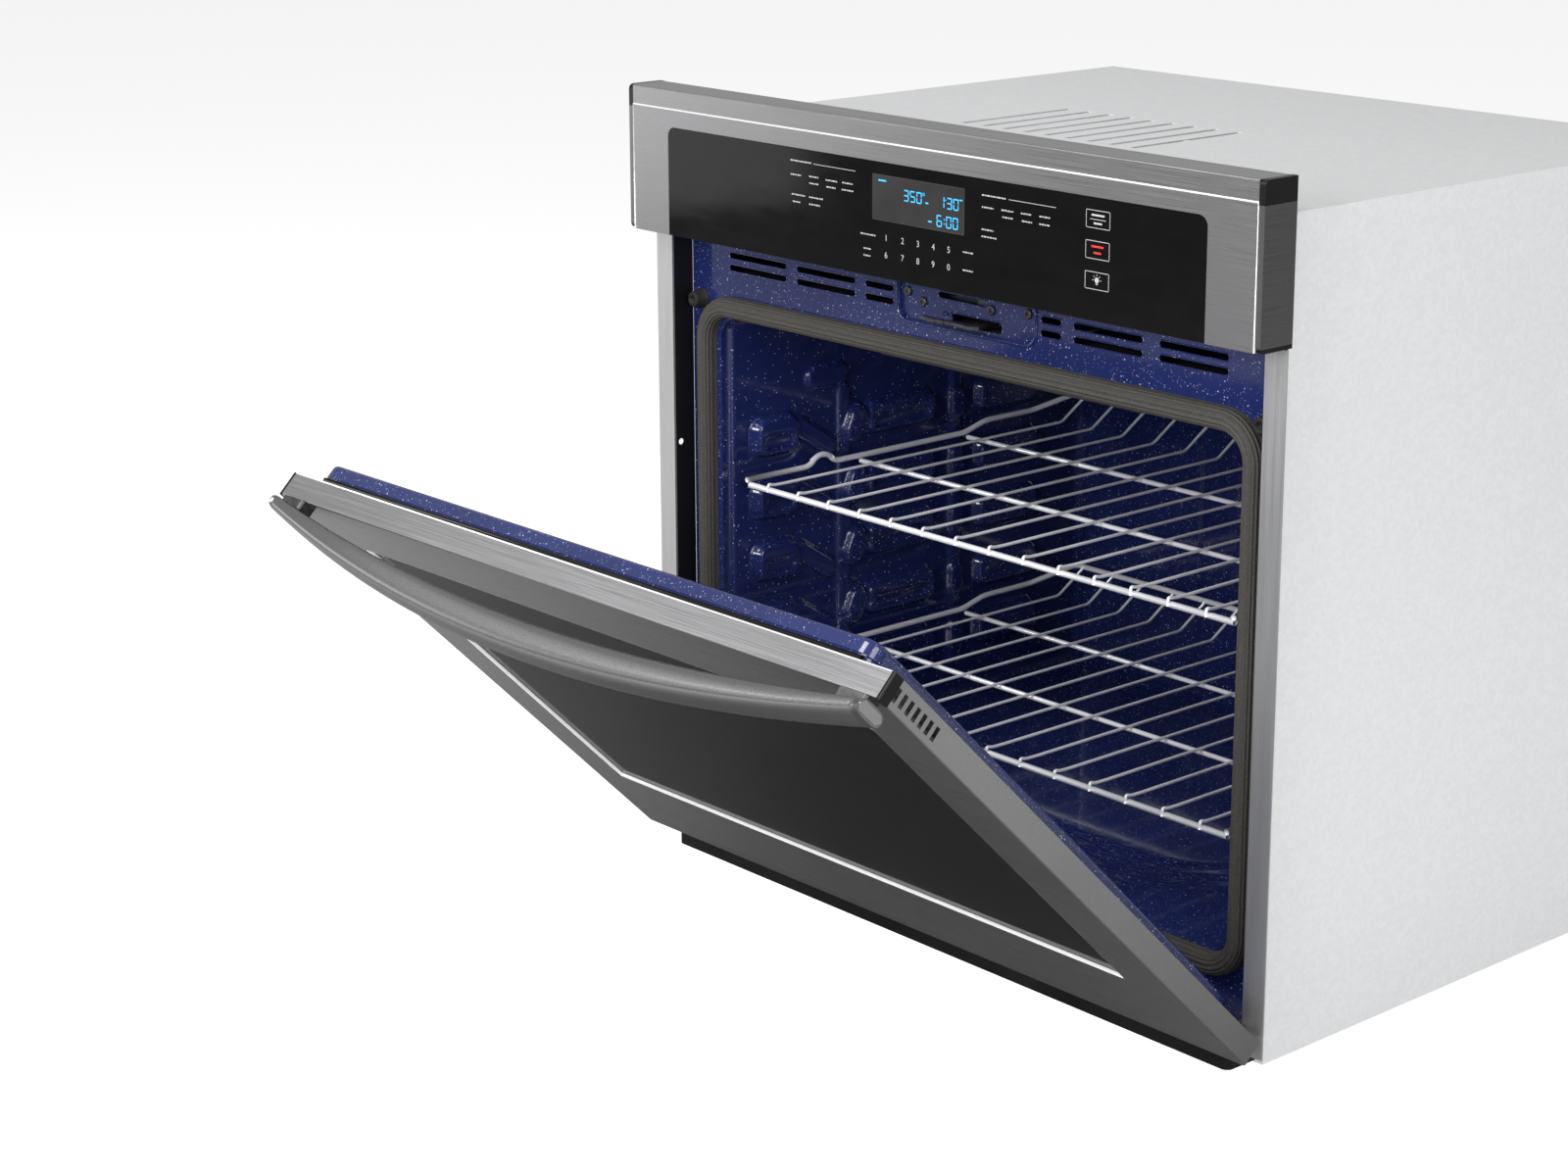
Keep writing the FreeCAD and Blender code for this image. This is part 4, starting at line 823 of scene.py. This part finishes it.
def guide_relief(y, z):
    """How far the side wall stands into the cavity: pads between the rack levels and two columns."""
    relief = 3.4 * smooth_step((y - 31) / 3)
    nearest = round((z - LOWER_LEVEL) / GUIDE_PITCH - 0.5)
    for row in (nearest - 1, nearest, nearest + 1):
        if not -1 <= row <= 3:
            continue
        middle = LOWER_LEVEL + GUIDE_PITCH * (row + 0.5)
        top, low = middle + 20, middle - 10
        pads = [
            (box_distance(y, z, 59, 106, low, top, 9), 14.5),
            (box_distance(y, z, 200, 286, low + 1, top - 3, 8), 13.5),
            (box_distance(y, z, 352, 432, low + 1, top - 3, 8), 13.5),
            (capsule_distance(y, z, (113, middle + 8), (150, middle - 16), 7), 11.0),
            (capsule_distance(y, z, (180, middle - 6), (186, middle + 8), 9), 13.5),
            (capsule_distance(y, z, (322, middle - 6), (322, middle + 8), 7), 10.0),
        ]
        for distance, height in pads:
            relief = max(relief, raised(distance, height, 7))
        hollow = box_distance(y, z, 208, 276, middle - 6, middle + 3, 4)
        relief -= raised(hollow, 3.5, 4)
        hollow = box_distance(y, z, 68, 100, middle - 5, middle + 4, 4)
        relief -= raised(hollow, 3.0, 4)
    for at in (172, 322):
        column = capsule_distance(y, z, (at, 128), (at, 428), 5)
        relief = max(relief, raised(column, 7.0, 8))
    boss = capsule_distance(y, z, (135, 446), (165, 446), 8)
    relief = max(relief, raised(boss, 8.0, 9))
    edge = min(CAVITY_BACK - y, z - CAVITY_Z[0], CAVITY_Z[1] - z)
    return relief + 7 * (1 - smooth_step(edge / 16)) ** 2


def side_wall(side, material):
    """Embossed side wall of the cavity, as one pressed sheet."""
    rows, columns = 168, 184
    points = []
    for r in range(rows):
        z = CAVITY_Z[0] + (CAVITY_Z[1] - CAVITY_Z[0]) * r / (rows - 1)
        for c in range(columns):
            y = PLATE_BACK + 0.1 + (CAVITY_BACK - PLATE_BACK - 0.3) * c / (columns - 1)
            points.append((side * (CAVITY_HALF - guide_relief(y, z)), y, z))
    faces = lattice(rows, columns)
    if side > 0:
        faces = [face[::-1] for face in faces]
    name = "right" if side > 0 else "left"
    made = piece(f"cavity_{name}_pressing", points, faces, "chassis", material)
    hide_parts(f"cavity_{name}_wall")


def floor_relief(x, y):
    """Soft steps that ring the floor, like contour lines."""
    distance = box_distance(x, y, -205, 205, 135, 405, 90)
    relief = 0.0
    for start, height in ((0, 1.6), (24, 1.2), (48, 1.0)):
        relief += height * (1 - smooth_step((distance - start) / 9))
    edge = min(CAVITY_HALF - abs(x), CAVITY_BACK - y)
    return relief + 6 * (1 - smooth_step(edge / 18)) ** 2


def pressed_floor(material):
    """Embossed floor of the cavity, as one pressed sheet."""
    rows, columns = 120, 160
    points = []
    for r in range(rows):
        y = PLATE_BACK + 0.1 + (CAVITY_BACK - PLATE_BACK - 0.3) * r / (rows - 1)
        for c in range(columns):
            x = -CAVITY_HALF + 2 * CAVITY_HALF * c / (columns - 1)
            points.append((x, y, CAVITY_FLOOR + floor_relief(x, y)))
    made = piece("cavity_floor_pressing", points, lattice(rows, columns), "chassis", material)
    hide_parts("cavity_floor")


# ---- handle --------------------------------------------------------------------------------------
def bow_stand_off(x, at_end, at_middle):
    """Distance from the door of an arc along the handle."""
    rise = at_middle - at_end
    radius = (HANDLE_HALF * HANDLE_HALF + rise * rise) / (2 * rise)
    return at_end + math.sqrt(radius * radius - x * x) - (radius - rise)


def handle(material, polished):
    """Bowed grip with a flat-oval section, deeper in the middle than at its polished ends."""
    stations, around = 96, 48
    points = []
    for s in range(stations + 1):
        x = -GRIP_HALF + 2 * GRIP_HALF * s / stations
        back = bow_stand_off(x, *GRIP_BACK)
        front = bow_stand_off(x, *GRIP_FRONT)
        middle, depth = (front + back) / 2, (front - back) / 2
        for a in range(around):
            angle = 2 * math.pi * a / around
            c, d = math.cos(angle), math.sin(angle)
            y = math.copysign(abs(c) ** 0.72, c) * depth
            z = math.copysign(abs(d) ** 0.62, d) * GRIP_RISE
            points.append((x, FRONT_Y - middle - y, HANDLE_Z + z))
    faces = lattice(stations + 1, around, closed_columns=True)
    faces.append(tuple(range(around)))
    faces.append(tuple(reversed(range(stations * around, (stations + 1) * around))))
    made = piece("handle_grip", points, faces, "door", material, door=True)
    made.data.polygons[-1].use_smooth = False
    made.data.polygons[-2].use_smooth = False
    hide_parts("handle_bar")
    for side in (-1, 1):
        plate = []
        for x, inset in ((371.3, 0.7), (371.8, 0.7), (372.0, 1.0)):
            y0, y1, cut = -4 - inset, -14.5 + inset, 4.0
            z0, z1 = HANDLE_Z - GRIP_RISE + inset, HANDLE_Z + GRIP_RISE - inset
            outline = [(y0 - cut, z0), (y0, z0 + cut), (y0, z1 - cut), (y0 - cut, z1)]
            outline += [(y1 + cut, z1), (y1, z1 - cut), (y1, z0 + cut), (y1 + cut, z0)]
            plate += [(side * x, FRONT_Y + y, z) for y, z in outline]
        sides = lattice(3, 8, closed_columns=True) + [tuple(range(16, 24))]
        name = "handle_end_right" if side > 0 else "handle_end_left"
        piece(name, plate, sides, "door", polished, door=True, smooth=False)


# ---- control panel graphics ----------------------------------------------------------------------
def flat_shapes(name, shapes, material, y=INK_Y):
    """Thin printed shapes on the glass: each is a list of (x, z) corners."""
    points, faces = [], []
    for outline in shapes:
        start = len(points)
        points += [(x, y, z) for x, z in outline]
        faces.append(tuple(range(start, start + len(outline))))
    return piece(name, points, faces, "chassis", material, smooth=False)


def bar(x0, x1, z, height):
    """Corners of a level stroke whose middle is at z."""
    return [(x0, z - height / 2), (x1, z - height / 2), (x1, z + height / 2), (x0, z + height / 2)]


def frame_bars(x0, x1, z0, z1, line):
    """Four strokes that make a rectangle's outline."""
    upright = [(x0, z0), (x0 + line, z0), (x0 + line, z1), (x0, z1)]
    other = [(x1 - line, z0), (x1, z0), (x1, z1), (x1 - line, z1)]
    return [bar(x0, x1, z0 + line / 2, line), bar(x0, x1, z1 - line / 2, line), upright, other]


def segment_digit(digit, x, z, width, height, line):
    """Seven-segment digit of plain bars, its lower left corner at x, z."""
    gap, half = line * 0.25, height / 2
    across = {"a": height - line, "g": half - line / 2, "d": 0.0}
    upright = {"b": (width - line, half), "c": (width - line, 0), "e": (0, 0), "f": (0, half)}
    shapes = []
    for key in SEGMENTS[digit]:
        if key in across:
            low = z + across[key]
            x0, x1 = x + gap + line * 0.5, x + width - gap - line * 0.5
            shapes.append([(x0, low), (x1, low), (x1, low + line), (x0, low + line)])
        else:
            dx, dz = upright[key]
            x0, z0 = x + dx, z + dz + gap
            z1 = z0 + half - 2 * gap
            shapes.append([(x0, z0 + line / 2), (x0 + line, z0 + line / 2), (x0 + line, z1), (x0, z1)])
    return shapes


def display(blue, window, edge):
    """Window of the display and what it shows: a temperature, a timer and a clock."""
    pane = [(-50.5, 650.5), (59.4, 650.5), (59.4, 688.5), (-50.5, 688.5)]
    flat_shapes("display_window", [pane], window, INK_Y + 0.02)
    flat_shapes("display_edge", frame_bars(-50.8, 59.7, 650.2, 688.8, 0.35), edge)
    lit = []
    for digit, x in (("3", -12.6), ("5", -4.8), ("0", 3.0)):
        lit += segment_digit(digit, x, 669.8, 6.2, 9.6, 1.0)
    for digit, x in (("1", 30.0), ("3", 39.0), ("0", 46.8)):
        lit += segment_digit(digit, x, 669.4, 6.2, 9.6, 1.0)
    for digit, x in (("6", 27.2), ("0", 38.4), ("0", 46.2)):
        lit += segment_digit(digit, x, 653.6, 6.2, 9.8, 1.0)
    for x, z in ((37.2, 676.6), (35.8, 656.8), (35.8, 660.2)):
        lit.append(bar(x, x + 1.0, z, 1.1))
    lit += frame_bars(10.4, 12.6, 677.0, 679.4, 0.5)
    lit += [bar(-43.5, -34.0, 684.0, 1.3), bar(13.8, 17.2, 671.4, 1.2), bar(53.8, 57.6, 678.6, 1.0)]
    lit.append(bar(17.0, 21.5, 656.6, 1.2))
    flat_shapes("display_digits", lit, blue, INK_Y - 0.03)


def legends(ink):
    """Short dashes stand for the wording of the touch keys, and thin rules head the two groups."""
    shapes = []
    for index, (x0, x1, z) in enumerate(LEGENDS):
        x, turn = x0, index
        while x < x1 - 0.8:
            width = (2.6, 1.5, 3.4, 2.0)[turn % 4]
            shapes.append(bar(x, min(x + width, x1), z, 1.15))
            x += width + 0.75
            turn += 1
    shapes += [bar(-125.7, -72.1, 688.0, 0.45), bar(110.6, 163.4, 686.0, 0.45)]
    flat_shapes("key_legends", shapes, ink)


def touch_boxes(ink, red):
    """Three boxed touch keys: strokes for start, a red pair for stop, and a lamp."""
    x0, x1 = 196.2, 222.0
    white = frame_bars(x0, x1, 675.0, 689.4, 0.5) + frame_bars(x0, x1, 626.4, 640.6, 0.5)
    white += [bar(202, 216, 685.4, 1.5), bar(200.5, 217.5, 682.0, 0.5), bar(204.5, 213.5, 678.9, 1.5)]
    lamp = []
    for degrees in range(0, 360, 30):
        a = math.radians(degrees)
        lamp.append((209 + 2.3 * math.cos(a), 634 + 2.3 * math.sin(a)))
    white += [lamp, bar(207.9, 210.1, 630.9, 0.9)]
    for angle in (0, 45, 90, 135, 180):
        a = math.radians(angle)
        along = Vector((math.cos(a), math.sin(a)))
        across = Vector((-math.sin(a), math.cos(a))) * 0.22
        start, end = Vector((209, 634)) + along * 3.2, Vector((209, 634)) + along * 4.9
        ray = (start - across, end - across, end + across, start + across)
        white.append([tuple(corner) for corner in ray])
    white += frame_bars(x0, x1, 650.6, 665.2, 0.5)
    flat_shapes("touch_boxes", white, ink)
    sign = [bar(202.5, 215.5, 660.6, 1.6), bar(205, 213, 655.6, 1.6)]
    flat_shapes("touch_stop_sign", sign, red)


def keypad(ink):
    """Digits of the number keys in two rows."""
    columns = (-33.8, -13.7, 5.0, 23.4, 41.7)
    for row, (digits, z) in enumerate((("12345", 633.4), ("67890", 618.9))):
        for digit, x in zip(digits, columns):
            curve = bpy.data.curves.new(f"key_{digit}", "FONT")
            curve.body = digit
            curve.size = 7.6 * MM
            curve.align_x = "CENTER"
            curve.resolution_u = 4
            text = bpy.data.objects.new(f"text_{digit}", curve)
            mesh = bpy.data.meshes.new_from_object(text)
            bpy.data.objects.remove(text)
            turn = Matrix.Rotation(math.pi / 2, 4, "X")
            mesh.transform(Matrix.Translation(Vector((x, INK_Y, z)) * MM) @ turn)
            mesh.materials.clear()
            mesh.materials.append(ink)
            key = bpy.data.objects.new(f"key_digit_{digit}", mesh)
            bpy.context.scene.collection.objects.link(key)
            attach(key, "chassis")


# ---- assembly ------------------------------------------------------------------------------------
def main():
    """Studio, materials on the CAD nodes, and then the finer pieces."""
    make_camera()
    make_studio()
    materials = make_materials()
    for name, node in NODES.items():
        node.data.materials.clear()
        node.data.materials.append(materials[SLOT_OF[name]])
    ink = printed("ink_white", (0.5, 0.5, 0.5))
    for name in ("side_trim_right", "side_trim_left"):
        NODES[name].data.materials[0] = materials["trim"]
    # Painted shade: the air duct and the latch bracket are made black where they sit in shade behind the
    # slots.
    for name in ("air_duct", "latch_bracket"):
        NODES[name].data.materials[0] = materials["painted_shade_black"]
    NODES["door_corner_caps"].data.materials[0] = materials["black_plastic_and_shade"]
    for name in ("end_cap_right", "end_cap_left"):
        NODES[name].data.materials[0] = materials["end_cap"]
    # Painted highlight beads along the fascia and door-skin edges.
    painted_highlight_edges(materials["painted_highlight"])
    # Painted shade: a black strip in the hem gap.
    hem_gap(materials["black_plastic_and_shade"])
    for name, level in (("upper_rack", UPPER_LEVEL), ("lower_rack", LOWER_LEVEL)):
        rack(name, level, materials["rack_wire"])
    door_stops(materials["rubber"])
    slot_rims(materials["porcelain"])
    latch_pocket_bead(materials["porcelain"])
    hinge_pockets(materials["black_trim"], materials["steel"])
    # The window's edge is near white: painted highlight.
    window_bezel(materials["painted_highlight"])
    ribbed_gasket(materials["gasket"])
    side_wall(-1, materials["porcelain"])
    side_wall(1, materials["porcelain"])
    pressed_floor(materials["porcelain"])
    handle(materials["handle_metal"], materials["polish"])
    blue = glowing("display_blue", (0.03, 0.42, 0.85), 0.75)
    window = painted("display_glass", 0.028, 0.2)
    display(blue, window, printed("display_rim", (0.05, 0.05, 0.05)))
    legends(ink)
    # The red stop print glows a little: painted glow on print.
    touch_boxes(ink, glowing("ink_red_glow", (0.75, 0.02, 0.02), 0.25))
    keypad(ink)


main()
